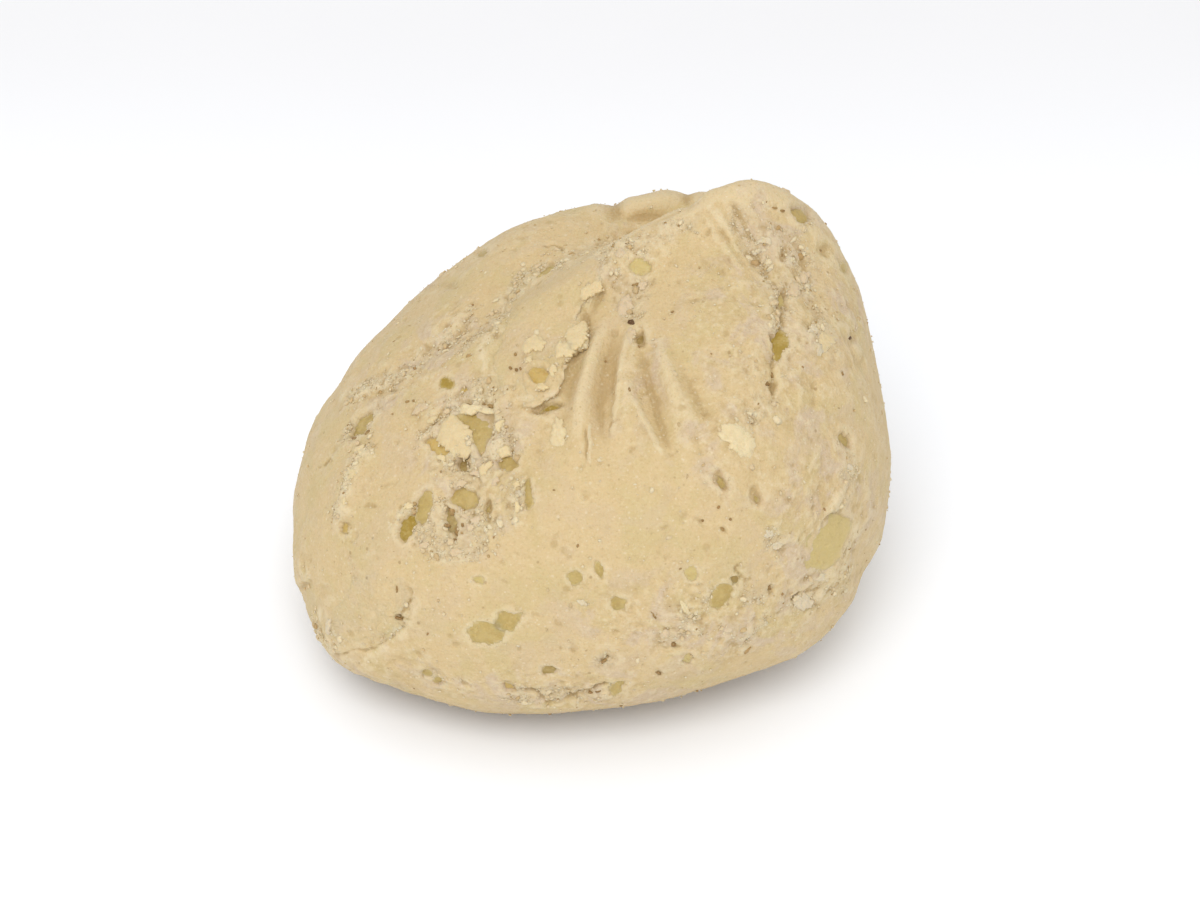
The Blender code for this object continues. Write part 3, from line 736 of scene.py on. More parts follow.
# ---------------------------------------------------------------------------------------------------------------------
# places on the skin, and chips of any outline laid on it or set in it
# ---------------------------------------------------------------------------------------------------------------------
EYE = AIM + TO_EYE * EYE_DISTANCE
calm_tree = BVHTree.FromPolygons([Vector(p) for p in calm_skin], quads.tolist())
spread_tree = BVHTree.FromPolygons([Vector(p) for p in spread_skin], quads.tolist())


def under(tree, s, t):
    """Where the line from the eye point through a place on the sheet meets the skin, and the skin's normal there."""
    way = AIM + s * sheet_right + t * SKETCH_UP - EYE
    where, way_out, _, _ = tree.ray_cast(Vector(EYE), Vector(way))
    return (np.array(where), np.array(way_out)) if where is not None else (None, None)


def frame_at(c, n, by_sheet):
    """A point, its normal, and two directions along the skin: one sheet unit right and up if by_sheet, else square."""
    t1 = unit(np.cross(SKETCH_UP + 0.01 * sheet_right, n)[None])[0] if by_sheet else unit(np.cross((0.31, 0.22, 0.92), n)[None])[0]
    t2 = np.cross(n, t1)
    if not by_sheet:
        return c, n, t1, t2
    seen = np.array([[t1 @ sheet_right, t2 @ sheet_right], [t1 @ SKETCH_UP, t2 @ SKETCH_UP]])
    grid = np.linalg.inv(seen + 1e-6 * np.eye(2))
    right, up = t1 * grid[0, 0] + t2 * grid[1, 0], t1 * grid[0, 1] + t2 * grid[1, 1]
    return c, n, right / max(1, np.linalg.norm(right) / 1.9), up / max(1, np.linalg.norm(up) / 1.9)


RAYS = 256
ray_angle = np.arange(RAYS) / RAYS * 2 * math.pi


def outline(shape):
    """Where a chip's middle is on the sheet, and how far it reaches (mm) in each of RAYS directions."""
    if isinstance(shape[0], tuple):
        corners = np.array([at(*xy) for xy in shape])
        middle = (corners.max(0) + corners.min(0)) / 2
        corners = corners - middle
    else:
        bx, by, half_length, half_width, turn = shape
        middle = np.array(at(bx, by))
        chance = np.random.default_rng(int(bx * 31 + by * 1709 + half_length * 977 + (turn % 360) * 7))
        count = int(chance.integers(6, 9))
        angle = 2 * math.pi * (np.arange(count) + chance.uniform(-0.3, 0.3, count)) / count
        reach = chance.uniform(0.82, 1.15, count)
        a, b = half_length * SHEET_MM * reach * np.cos(angle), half_width * SHEET_MM * reach * np.sin(angle)
        c, s = math.cos(math.radians(turn)), math.sin(math.radians(turn))
        corners = np.stack([a * c - b * s, a * s + b * c], 1)
    p, e = corners, np.roll(corners, -1, 0) - corners
    dx, dy = np.cos(ray_angle)[:, None], np.sin(ray_angle)[:, None]
    slope = dx * e[:, 1] - dy * e[:, 0]
    slope = np.where(np.abs(slope) < 1e-9, 1e-9, slope)
    far = (p[:, 0] * e[:, 1] - p[:, 1] * e[:, 0]) / slope
    along = (p[:, 0] * dy - p[:, 1] * dx) / slope
    far = np.where((along > -0.001) & (along < 1.001) & (far > 0), far, 0).max(1)
    far = np.maximum(far, 0.05)
    for _ in range(2):
        far = (np.roll(far, 1) + far * 2 + np.roll(far, -1)) / 4
    return middle, far


def ragged(far, amount, size):
    """The outline with a rough edge: bites and teeth of about `size` mm."""
    edge = np.stack([np.cos(ray_angle) * far, np.sin(ray_angle) * far, np.full(RAYS, far.sum() * 7.31 % 50)], 1)
    return far * (1 + amount * (noise(edge, size, 90) + 0.6 * noise(edge, size * 0.45, 91)) / np.maximum(far, 0.35))


def reach_to(a, b, far):
    angle = np.arctan2(b, a) % (2 * math.pi)
    return np.interp(angle, ray_angle, far, period=2 * math.pi)


hidden = np.nonzero((base_normal @ TO_EYE < 0.0) & (base[:, 2] > 3.2))[0]
quad_area = np.linalg.norm(np.cross(base[quads[:, 2]] - base[quads[:, 0]], base[quads[:, 3]] - base[quads[:, 1]]), axis=1) / 2
vertex_area = sum(np.bincount(quads[:, k], quad_area / 4, len(base)) for k in range(4))
odds_hidden = vertex_area[hidden] / vertex_area[hidden].sum()


def placed(shape):
    middle, far = outline(shape)
    c, n = under(calm_tree, *middle)
    i = np.argmin((xs - middle[0]) ** 2 + (ts - middle[1]) ** 2 + (facing < 0.01) * 1e6)
    lift = (plain_skin[i] - c) @ n
    return frame_at(c + n * np.clip(lift, -0.3, 0.3), n, True), middle, far


def random_place(low, high):
    i = rng.choice(hidden, p=odds_hidden)
    size = low + (high - low) * rng.random() ** 2
    _, far = outline((600, 450, size / SHEET_MM, size / SHEET_MM * rng.uniform(0.45, 0.9), rng.uniform(0, 180)))
    return frame_at(plain_skin[i], base_normal[i], False), None, far


bits = [(*placed(shape), kind, sunk, smear) for shape, kind, sunk, smear in BITS]
bits += [(*random_place(0.35, 1.5), int(rng.integers(0, 4)), rng.uniform(0.05, 0.16), rng.uniform(0, 0.5)) for _ in range(HIDDEN_BITS)]

pocket = np.zeros(len(base))
level = move.copy()
film = soft_step(0.05, 0.40, noise(base, 0.9, 71) + 0.4 * noise(base, 0.4, 72))
for (c, n, right, up), middle, far, kind, sunk, smear in bits:
    if middle is not None:
        a, b = xs - middle[0], ts - middle[1]
    else:
        m = np.linalg.inv(np.stack([right, up, n], 1))
        a, b, _ = ((plain_skin - c) @ m.T).T
    near = (((plain_skin - c) ** 2).sum(1) < 16) & (base_normal @ n > 0.2)
    far = ragged(far, 0.14, 0.6)
    inside = (1 - np.hypot(a, b) / reach_to(a, b, far)) * far.mean()
    depth = (sunk + 0.18) * soft_step(-0.08, 0.10, inside) * near * (1 - smear * film)
    pocket = np.maximum(pocket, depth)
    # inside a chip's pocket the skin keeps no relief of its own
    above = (plain_skin - c) @ n + (a * a + b * b) / 40
    level -= np.clip(above, -0.1, 0.6) * soft_step(-0.10, 0.10, inside) * near * (1 - smear * film)
skin = base + base_normal * (level - pocket)[:, None]
skin[:, 2] = np.maximum(skin[:, 2], 0)
skin += SHIFT
normal = vertex_normals(skin, quads)

# how hollow each place is: how far the skin lies below itself when smoothed. The paste material paints hollows darker
# with it (painted shade) and raised places lighter (painted highlight)
ends = np.concatenate([quads[:, [0, 1]], quads[:, [1, 2]], quads[:, [2, 3]], quads[:, [3, 0]]])
degree = np.bincount(ends[:, 0], minlength=len(base)) + np.bincount(ends[:, 1], minlength=len(base))


def smoothed(value, times):
    for _ in range(times):
        value = (np.bincount(ends[:, 0], value[ends[:, 1]], len(base)) + np.bincount(ends[:, 1], value[ends[:, 0]], len(base))) / degree
    return value


def hollows(times):
    return sum((smoothed(skin[:, k], times) - skin[:, k]) * normal[:, k] for k in range(3))


fine_hollow = hollows(8)
broad_hollow = hollows(120)


# =====================================================================================================================
# 3. Meshes
# =====================================================================================================================
MM = 0.001


def make_mesh(name, points, faces, values=None):
    """Points in mm. values: name to one number a point."""
    mesh = bpy.data.meshes.new(name)
    width = faces.shape[1]
    mesh.vertices.add(len(points))
    mesh.vertices.foreach_set("co", (points * MM).astype(np.float32).ravel())
    mesh.loops.add(faces.size)
    mesh.loops.foreach_set("vertex_index", faces.astype(np.int32).ravel())
    mesh.polygons.add(len(faces))
    mesh.polygons.foreach_set("loop_start", np.arange(0, faces.size, width, dtype=np.int32))
    mesh.polygons.foreach_set("use_smooth", np.full(len(faces), True))
    mesh.update(calc_edges=True)
    mesh.validate()
    for key, value in (values or {}).items():
        layer = mesh.attributes.new(key, "FLOAT", "POINT")
        layer.data.foreach_set("value", np.asarray(value, np.float32))
    piece = bpy.data.objects.new(name, mesh)
    bpy.context.scene.collection.objects.link(piece)
    return piece


def joined(name, parts, keys):
    """One mesh of many parts, each (points, faces, one number for each key)."""
    points, faces, start = [], [], 0
    for p, f, *_ in parts:
        points.append(p)
        faces.append(f + start)
        start += len(p)
    values = {key: np.concatenate([np.broadcast_to(part[2 + k], len(part[0])) for part in parts]) for k, key in enumerate(keys)}
    return make_mesh(name, np.concatenate(points), np.concatenate(faces), values)


def disc(rays, rings):
    """Flat places and triangles of a closed cake: a middle, rings out to the edge, the lower edge and the middle below."""
    angle = np.arange(rays) / rays * 2 * math.pi
    share = np.concatenate([(np.arange(1, rings + 1) / rings) ** 0.8, [1.0, 0.80]])
    level = np.concatenate([np.zeros(rings), [0.55, 1.0]])
    r = np.concatenate([[0], np.repeat(share, rays), [0]])
    turn = np.concatenate([[0], np.tile(angle, len(share)), [0]])
    down = np.concatenate([[0], np.repeat(level, rays), [1]])
    faces = []
    k = np.arange(rays)
    nxt = (k + 1) % rays
    faces.append(np.stack([np.zeros(rays, int), 1 + k, 1 + nxt], 1))
    for ring in range(len(share) - 1):
        a, b = 1 + ring * rays, 1 + (ring + 1) * rays
        faces.append(np.stack([a + k, b + k, b + nxt], 1))
        faces.append(np.stack([a + k, b + nxt, a + nxt], 1))
    last = 1 + (len(share) - 1) * rays
    faces.append(np.stack([last + k, np.full(rays, last + rays), last + nxt], 1))
    return r, turn, down, np.concatenate(faces)


def rims(rays, rings):
    return disc(rays, rings)[0]


def chip(frame_, far, top, wall, rays, rings):
    """A chip with that outline. top(x, y, r): height of its upper face, r from 0 at the middle to 1 at the edge."""
    c, n, right, up = frame_
    r, turn, down, faces = disc(rays, rings)
    reach = np.interp(turn, ray_angle, far, period=2 * math.pi) * r
    x, y = np.cos(turn) * reach, np.sin(turn) * reach
    z = top(x, y, r) * (1 - down) - wall * down - (x * x + y * y) / 40
    return c + SHIFT + x[:, None] * right + y[:, None] * up + z[:, None] * n, faces


def facets(x, y, count, slope, size):
    """A broken face: the lowest of a few tilted planes."""
    height = np.full(len(x), 9.0)
    for _ in range(count):
        turn = rng.uniform(0, 2 * math.pi)
        tilt = rng.uniform(0.3, 1.0) * slope
        height = np.minimum(height, (x * math.cos(turn) + y * math.sin(turn)) * tilt + rng.uniform(0, 0.5) * slope * size)
    return height - height.max()


def flat_noise(x, y, size, pattern):
    return noise(np.stack([x, y, np.full(len(x), 3.7 * pattern)], 1), size, pattern)


# the under value marks downward-facing skin near the floor, which the paste material paints darker brown as painted
# shade
paste_skin = make_mesh("paste_skin", skin, quads, {"hollow": fine_hollow, "broad": broad_hollow, "torn": torn, "crack": crack, "rough": rough, "pale": pale, "under": soft_step(-0.32, -0.85, normal[:, 2]) * soft_step(5.5, 1.5, skin[:, 2])})

# the sheets: each point is put on the skin below by a line from the eye point, then raised
sheet_parts = []
edge_spots = []
sheet_places = []
for corners, thick, lift, on_flap, free in SHEETS:
    middle, far = outline(corners)
    far = ragged(ragged(far, 0.16, 0.9), 0.12, 0.35)
    sheet_places.append((middle, far, spread_tree if on_flap else calm_tree, lift))
    r, turn, down, faces = disc(RAYS, 34)
    reach = np.interp(turn, ray_angle, far, period=2 * math.pi) * r
    a, b = middle[0] + np.cos(turn) * reach, middle[1] + np.sin(turn) * reach
    tree = sheet_places[-1][2]
    hits = [under(tree, s, v) for s, v in zip(a, b)]
    spot = np.array([h[0] for h in hits])
    out = unit(np.array([h[1] for h in hits]))
    for _ in range(3):  # the hit faces' own normals are a little rough
        out = unit(out + 0.5 * (np.roll(out, 1, 0) + np.roll(out, -1, 0)))
    edge_free = np.interp(np.degrees(turn + math.pi) % 360 - 180, [f[0] for f in free], [f[1] for f in free], period=360)
    fine_relief = 0.050 * noise(spot, 1.9, 59) + 0.040 * noise(spot, 0.9, 60) + 0.028 * noise(spot, 0.45, 61) + 0.016 * noise(spot, 0.26, 62)
    relief = lift * (0.45 + 0.55 * np.sqrt(np.maximum(1 - r**10, 0))) + fine_relief
    relief -= (1 - edge_free) * (lift + 0.22) * soft_step(0.45, 1.0, r)
    ring = blob(a, b, RIM) + 0.30 * noise(spot, 0.8, 77)
    relief += 0.26 * np.exp(-(((ring - 1.15) / 0.30) ** 2)) * soft_step(-0.6, 0.5, noise(spot, 1.3, 79)) * (on_flap * 1.0)
    relief -= 0.07 * soft_step(0.40, 0.62, noise(spot, 0.75, 57) * 0.6 + noise(spot, 1.7, 58) * 0.5)
    relief -= 0.16 * soft_step(0.85, 1.0, r + 0.10 * noise(spot, 0.7, 66)) * soft_step(0.1, 0.4, noise(spot, 1.4, 67))
    for (c, n, right, up), chip_middle, chip_far, kind, sunk, smear in bits:
        if chip_middle is None:
            continue
        da, db = a - chip_middle[0], b - chip_middle[1]
        inside = (1 - np.hypot(da, db) / reach_to(da, db, chip_far)) * chip_far.mean()
        relief -= (sunk + 0.16) * soft_step(-0.05, 0.10, inside)
    z = relief * (1 - down) + (lift - thick) * down
    points = spot + SHIFT + out * z[:, None]
    edge = soft_step(0.90, 1.0, r + 0.06 * noise(spot, 0.6, 68)) * (1 - down)
    # the sheet's lower wall gets crack and broad values, so it is painted darker as painted shade under the sheet's
    # edge; its free edge gets a small negative hollow value, a painted highlight
    sheet_parts.append((points, faces, -0.02 * edge * edge_free, 0.10 * down, 0.15 + 0.5 * edge * edge_free, 0.6 * down, 0.25 + 0.3 * edge, 0.75 * edge * edge_free * (1 - down)))
    rim_start = 1 + 33 * RAYS
    for k in rng.choice(RAYS, 90):
        if edge_free[rim_start + k] > 0.5:
            edge_spots.append((points[rim_start + k], out[rim_start + k]))
paste_sheets = joined("paste_sheets", sheet_parts, ("hollow", "broad", "torn", "crack", "rough", "pale"))


def laid(place):
    """A chip's place, moved up onto the sheet if it is over one."""
    (c, n, right, up), middle, far = place[:3]
    if middle is None:
        return c, n, right, up
    for sheet_middle, sheet_far, tree, lift in sheet_places:
        da, db = middle[0] - sheet_middle[0], middle[1] - sheet_middle[1]
        if math.hypot(da, db) < 0.97 * float(reach_to(da, db, sheet_far)):
            spot, out = under(tree, *middle)
            return frame_at(spot + out * lift, out, True)
    return c, n, right, up


bit_parts = []
for k, place in enumerate(bits):
    _, middle, far, kind, sunk, smear = place
    size = far.mean()
    wide = far * 1.03 + 0.13
    seed = 1.3 * k

    def top(x, y, r):
        return -sunk + facets(x, y, 4, 0.16, size) + 0.035 * flat_noise(x + seed, y, 0.7, 92) + 0.02 * flat_noise(x + seed, y, 0.3, 93) - 0.10 * soft_step(0.93, 1.0, r)

    rays, rings = (64, 10) if size > 0.8 else (32, 6)
    points, faces = chip(laid(place), wide, top, sunk + 0.45, rays, rings)
    edge = rims(rays, rings) * (size * 1.03 + 0.13) / size
    bit_parts.append((points, faces, kind / 4, (k * 0.6180339) % 1.0, edge))
chestnut_bits = joined("chestnut_bits", bit_parts, ("kind", "number", "edge"))

flake_places = [(*placed(shape), height, kind) for shape, height, kind in FLAKES]
flake_places += [(*random_place(0.25, 1.1), rng.uniform(0.14, 0.3), int(rng.integers(1, 4))) for _ in range(HIDDEN_FLAKES)]
flake_parts = []
for k, place in enumerate(flake_places):
    _, middle, far, height, kind = place
    size = far.mean()
    seed = 2.1 * k
    bitten = ragged(far, 0.20, 0.38)
    keen = 0.55 if kind > 1 else 1.0
    lean = math.radians(rng.uniform(110, 190))
    bedded = 1.0 if kind > 1 else 0.0

    def top(x, y, r):
        crown = height * 0.8 * (0.45 + 0.55 * np.sqrt(np.maximum(1 - r**4, 0)))
        crown = crown - bedded * (height + 0.12) * soft_step(0.30, 1.25, (x * math.cos(lean) + y * math.sin(lean)) / size)
        return crown + keen * (facets(x, y, 5, 0.20, size) + 0.08 * flat_noise(x + seed, y, 0.8, 94) + 0.07 * flat_noise(x + seed, y, 0.35, 95) + 0.04 * flat_noise(x + seed, y, 0.18, 96))

    points, faces = chip(laid(place), bitten, top, 0.22, *((96, 14) if size > 0.5 else (40, 7)))
    flake_parts.append((points, faces, kind / 3, (k * 0.6180339 + 0.3) % 1.0))
    for _ in range(int(3 + 5 * size)):  # crumbs that came off the flake
        turn = rng.uniform(0, 2 * math.pi)
        reach = float(reach_to(math.cos(turn), math.sin(turn), bitten)) * rng.uniform(0.92, 1.2) + 0.03
        c, n, right, up = laid(place)
        edge_spots.append((c + SHIFT + right * (math.cos(turn) * reach) + up * (math.sin(turn) * reach), n))
flakes = joined("flakes", flake_parts, ("kind", "number"))


def ball(cuts):
    """A unit ball of triangles: an icosahedron, each face cut in four `cuts` times."""
    g = (1 + 5**0.5) / 2
    points = unit(np.array([(-1, g, 0), (1, g, 0), (-1, -g, 0), (1, -g, 0), (0, -1, g), (0, 1, g), (0, -1, -g), (0, 1, -g), (g, 0, -1), (g, 0, 1), (-g, 0, -1), (-g, 0, 1)]))
    faces = np.array([(0, 11, 5), (0, 5, 1), (0, 1, 7), (0, 7, 10), (0, 10, 11), (1, 5, 9), (5, 11, 4), (11, 10, 2), (10, 7, 6), (7, 1, 8), (3, 9, 4), (3, 4, 2), (3, 2, 6), (3, 6, 8), (3, 8, 9), (4, 9, 5), (2, 4, 11), (6, 2, 10), (8, 6, 7), (9, 8, 1)])
    for _ in range(cuts):
        sides = np.sort(np.concatenate([faces[:, [0, 1]], faces[:, [1, 2]], faces[:, [2, 0]]]), 1)
        sides, index = np.unique(sides, axis=0, return_inverse=True)
        middle = len(points) + index.reshape(3, -1)
        points = np.concatenate([points, unit(points[sides[:, 0]] + points[sides[:, 1]])])
        a, b, c = faces.T
        ab, bc, ca = middle
        faces = np.concatenate([np.stack(f, 1) for f in ((a, ab, ca), (ab, b, bc), (ca, bc, c), (ab, bc, ca))])
    return points, faces


def lump(spot, n, size, flat, sunk, ball_):
    """One uneven crumb."""
    points0, faces0 = ball_
    t1 = unit(np.cross(n, rng.normal(size=3))[None])[0]
    t2 = np.cross(n, t1)
    r = points0 * (1 + 0.20 * rng.normal(size=(len(points0), 1)).clip(-1.6, 1.6))
    p = spot - n * size * sunk + size * (r[:, :1] * t1 * rng.uniform(0.8, 1.4) + r[:, 1:2] * t2 * rng.uniform(0.65, 1.0) + r[:, 2:] * n * flat * rng.uniform(0.7, 1.0))
    p[:, 2] = np.maximum(p[:, 2], 0.01)
    return p, faces0


def strewn(name, count, weight, low, high, cuts, flat, sunk, extra=()):
    """count crumbs on the skin, thicker where weight is larger."""
    odds = weight * vertex_area
    ball_ = ball(cuts)
    spots = [(skin[i], normal[i]) for i in rng.choice(len(skin), count, p=odds / odds.sum())] + list(extra)
    parts = []
    for spot, n in spots:
        size = low + (high - low) * rng.random() ** 2.8
        parts.append((*lump(spot + rng.uniform(-0.08, 0.08, 3), n, size, flat, sunk, ball_), rng.random()))
    return joined(name, parts, ("number",))


clear = (normal[:, 2] > -0.75) & (skin[:, 2] > 0.25) & (pocket < 0.12)
patchy = soft_step(-0.15, 0.45, noise(base, 1.8, 80) + 0.5 * noise(base, 0.8, 81))
crumbs = strewn("crumbs", LARGE_CRUMBS, clear * (torn * (0.10 + patchy) * (0.35 + 0.65 * deep) + 0.5 * lined + 0.003), 0.09, 0.27, 1, 0.75, 0.25, edge_spots[::3])
grains = strewn("grains", GRAINS, clear * (torn * (0.25 + patchy) + 0.8 * lined + 0.030 + 0.10 * rough * patchy + 0.25 * crack), 0.040, 0.125, 0, 0.8, 0.15, edge_spots)

skin_places = [(*placed((bx, by, half_length, half_width, turn)), min(half_length, half_width) * SHEET_MM) for bx, by, half_length, half_width, turn in SKINS]
skin_places += [(*random_place(0.08, 0.28), 0.08) for _ in range(HIDDEN_SKINS)]
nut_parts = []
for k, place in enumerate(skin_places):
    _, middle, far, half_width = place
    (c, n, right, up) = laid(place)
    if middle is not None:  # sits on the finished skin, also inside a pit
        i = np.argmin((xs - middle[0]) ** 2 + (ts - middle[1]) ** 2 + (facing < 0.01) * 1e6)
        drop = (skin[i] - SHIFT - c) @ n
        c = c + n * min(max(drop, -0.9), 0.1) if np.linalg.norm(laid(place)[0] - place[0][0]) < 1e-6 else c
    points, faces = chip((c, n, right, up), ragged(far, 0.10, 0.25), lambda x, y, r: (0.05 + 0.25 * half_width) * (0.5 + 0.5 * np.sqrt(np.maximum(1 - r**3, 0))), 0.10, 24, 3)
    nut_parts.append((points, faces, (k * 0.6180339 + 0.5) % 1.0))
nut_skins = joined("nut_skins", nut_parts, ("number",))


# =====================================================================================================================
# 4. Materials
# =====================================================================================================================
def linear(r, g, b):
    """Surface colour for a colour as it looks in the studio's light."""
    seen = [v / 255 / 12.92 if v / 255 < 0.04045 else ((v / 255 + 0.055) / 1.055) ** 2.4 for v in (r, g, b)]
    return tuple(v * k for v, k in zip(seen, (0.733, 0.722, 0.712))) + (1.0,)


class Look:
    """A material's node tree, built from short calls."""

    def __init__(self, name):
        self.material = bpy.data.materials.new(name)
        self.material.use_nodes = True
        self.tree = self.material.node_tree
        self.shader = next(n for n in self.tree.nodes if n.type == "BSDF_PRINCIPLED")
        self.place = self.node("ShaderNodeTexCoord").outputs["Object"]

    def node(self, kind, **settings):
        made = self.tree.nodes.new(kind)
        for key, value in settings.items():
            setattr(made, key, value)
        return made

    def put(self, socket, value):
        if isinstance(value, bpy.types.NodeSocket):
            self.tree.links.new(value, socket)
        else:
            socket.default_value = value

    def value(self, name):
        return self.node("ShaderNodeAttribute", attribute_name=name).outputs["Fac"]

    def noise(self, size, detail=3.0, rough=0.55, warp=0.0):
        n = self.node("ShaderNodeTexNoise")
        self.put(n.inputs["Vector"], self.place)
        n.inputs["Scale"].default_value = 1 / (size * MM)
        n.inputs["Detail"].default_value = detail
        n.inputs["Roughness"].default_value = rough
        n.inputs["Distortion"].default_value = warp
        return n.outputs["Fac"]

    def cells(self, size, feature="F1", chance=1.0):
        n = self.node("ShaderNodeTexVoronoi", feature=feature)
        self.put(n.inputs["Vector"], self.place)
        n.inputs["Scale"].default_value = 1 / (size * MM)
        n.inputs["Randomness"].default_value = chance
        return n

    def span(self, value, low, high, to_low=0.0, to_high=1.0):
        n = self.node("ShaderNodeMapRange", interpolation_type="SMOOTHSTEP")
        self.put(n.inputs["Value"], value)
        for key, number in (("From Min", low), ("From Max", high), ("To Min", to_low), ("To Max", to_high)):
            n.inputs[key].default_value = number
        return n.outputs["Result"]

    def math(self, how, a, b=0.0, clamp=False):
        n = self.node("ShaderNodeMath", operation=how, use_clamp=clamp)
        self.put(n.inputs[0], a)
        self.put(n.inputs[1], b)
        return n.outputs[0]

    def mix(self, share, a, b, how="MIX"):
        n = self.node("ShaderNodeMix", data_type="RGBA", blend_type=how)
        self.put(n.inputs["Factor"], share)
        colours = [s for s in n.inputs if s.type == "RGBA"]
        self.put(colours[0], a)
        self.put(colours[1], b)
        return next(s for s in n.outputs if s.type == "RGBA")

    def bump(self, height, distance, strength=1.0, after=None):
        n = self.node("ShaderNodeBump")
        n.inputs["Distance"].default_value = distance * MM
        n.inputs["Strength"].default_value = strength
        self.put(n.inputs["Height"], height)
        if after is not None:
            self.put(n.inputs["Normal"], after)
        return n.outputs["Normal"]

    def finish(self, colour, rough, normal=None, soft=0.0, reach=1.0, spread=(1.0, 0.5, 0.22)):
        s = self.shader.inputs
        self.put(s["Base Color"], colour)
        self.put(s["Roughness"], rough)
        s["Subsurface Weight"].default_value = soft
        s["Subsurface Radius"].default_value = spread
        s["Subsurface Scale"].default_value = reach * MM
        s["IOR"].default_value = 1.42
        if normal is not None:
            self.put(s["Normal"], normal)
        return self.material


PASTE = linear(232, 206, 156)
PASTE_YELLOW = linear(225, 203, 148)
PASTE_PINK = linear(226, 203, 170)
PASTE_DEEP = linear(212, 184, 132)
# painted shade: the darker, browner colour that hollows, cracks and broad dips are painted toward
PAINTED_HOLLOW_SHADE = linear(198, 167, 112)
PASTE_TORN = linear(228, 208, 172)
PASTE_WHITE = linear(246, 229, 190)

look = Look("chestnut_paste")
patch = look.noise(4.2, 4, 0.6, 0.6)
other = look.noise(3.1, 4, 0.6, 0.8)
mid = look.noise(1.5, 4, 0.6, 0.4)
fine = look.noise(0.42, 3, 0.6)
grit = look.noise(0.17, 2, 0.5)
rough = look.value("rough")
unsmooth = look.math("ADD", look.math("MULTIPLY", rough, 0.75), 0.30)
colour = look.mix(look.math("MULTIPLY", look.span(patch, 0.46, 0.64), 0.75), PASTE, PASTE_YELLOW)
colour = look.mix(look.math("MULTIPLY", look.span(other, 0.47, 0.62), unsmooth), colour, PASTE_PINK)
colour = look.mix(look.math("MULTIPLY", look.span(mid, 0.50, 0.70), look.math("MULTIPLY", unsmooth, 0.60)), colour, PASTE_DEEP)
colour = look.mix(look.math("MULTIPLY", look.value("torn"), 0.45), colour, PASTE_TORN)
colour = look.mix(look.math("MULTIPLY", look.value("pale"), 0.70), colour, PASTE_WHITE)
# painted shade: hollows and cracks, and more weakly the broad dips, are painted darker and browner where shade falls in
# them
hollow = look.span(look.math("ADD", look.value("hollow"), look.math("MULTIPLY", look.value("crack"), 0.04)), 0.012, 0.10)
colour = look.mix(look.math("MULTIPLY", hollow, 0.62), colour, PAINTED_HOLLOW_SHADE)
colour = look.mix(look.math("MULTIPLY", look.span(look.value("broad"), 0.08, 0.70), 0.25), colour, PAINTED_HOLLOW_SHADE)
# painted highlight: places that stand above the smoothed skin are painted lighter
raised = look.span(look.value("hollow"), -0.010, -0.055)
colour = look.mix(look.math("MULTIPLY", raised, 0.40), colour, PASTE_WHITE)
colour = look.mix(look.math("MULTIPLY", look.span(fine, 0.52, 0.72), look.math("MULTIPLY", unsmooth, 0.38)), colour, PASTE_DEEP)
colour = look.mix(look.math("MULTIPLY", look.span(fine, 0.46, 0.30), look.math("MULTIPLY", unsmooth, 0.35)), colour, PASTE_WHITE)
colour = look.mix(look.span(grit, 0.56, 0.74, 0.0, 0.35), colour, PASTE_WHITE)
# painted shade: downward-facing skin near the floor is painted darker brown, standing in for the shadow under the lump
colour = look.mix(look.math("MULTIPLY", look.value("under"), 0.60), colour, linear(158, 130, 90))
colour = look.mix(look.span(grit, 0.44, 0.28, 0.0, 0.32), colour, linear(200, 170, 118))


def dotted(look, colour, size, channel, above, radius, strength, tint):
    """Specks: one in each chosen cell, with a soft edge."""
    cell = look.cells(size)
    split = look.node("ShaderNodeSeparateColor")
    look.put(split.inputs["Color"], cell.outputs["Color"])
    chosen = look.math("GREATER_THAN", split.outputs[channel], above)
    return look.mix(look.math("MULTIPLY", chosen, look.span(cell.outputs["Distance"], radius, radius * 0.45, 0.0, strength)), colour, tint)


colour = dotted(look, colour, 1.15, "Red", 0.85, 0.14, 0.50, linear(164, 130, 78))
colour = dotted(look, colour, 2.30, "Blue", 0.72, 0.16, 0.40, linear(190, 160, 100))
colour = dotted(look, colour, 0.62, "Red", 0.80, 0.17, 0.40, linear(182, 150, 98))
colour = dotted(look, colour, 0.70, "Green", 0.72, 0.20, 0.38, linear(250, 236, 204))
colour = dotted(look, colour, 0.40, "Green", 0.76, 0.24, 0.40, linear(252, 238, 208))
normal_ = look.bump(look.noise(0.60, 6, 0.66), 0.16, 0.9)
normal_ = look.bump(grit, 0.045, 0.9, normal_)
paste_look = look.finish(colour, look.span(mid, 0.3, 0.7, 0.58, 0.76), normal_, soft=0.22, reach=0.8, spread=(1.0, 0.68, 0.42))

look = Look("chestnut_bit")
kind, number = look.value("kind"), look.value("number")
colour = look.mix(look.span(kind, 0.10, 0.20), linear(178, 148, 52), linear(198, 171, 102))
colour = look.mix(look.span(kind, 0.35, 0.45), colour, linear(216, 180, 100))
colour = look.mix(look.span(kind, 0.60, 0.70), colour, linear(219, 196, 130))
colour = look.mix(look.span(kind, 0.85, 0.95), colour, linear(168, 140, 78))
colour = look.mix(look.math("MULTIPLY", number, 0.15), colour, linear(222, 198, 126))
colour = look.mix(look.span(look.noise(1.3, 3, 0.6, 0.8), 0.42, 0.66, 0.0, 0.36), colour, linear(228, 205, 140))
colour = look.mix(look.span(look.noise(0.6, 3, 0.6, 0.5), 0.52, 0.72, 0.0, 0.40), colour, linear(184, 154, 84))
colour = look.mix(look.span(look.noise(0.25, 2, 0.5), 0.56, 0.74, 0.0, 0.30), colour, linear(240, 219, 160))
edge = look.math("ADD", look.value("edge"), look.span(look.noise(0.45, 3, 0.6), 0.2, 0.8, -0.16, 0.16))
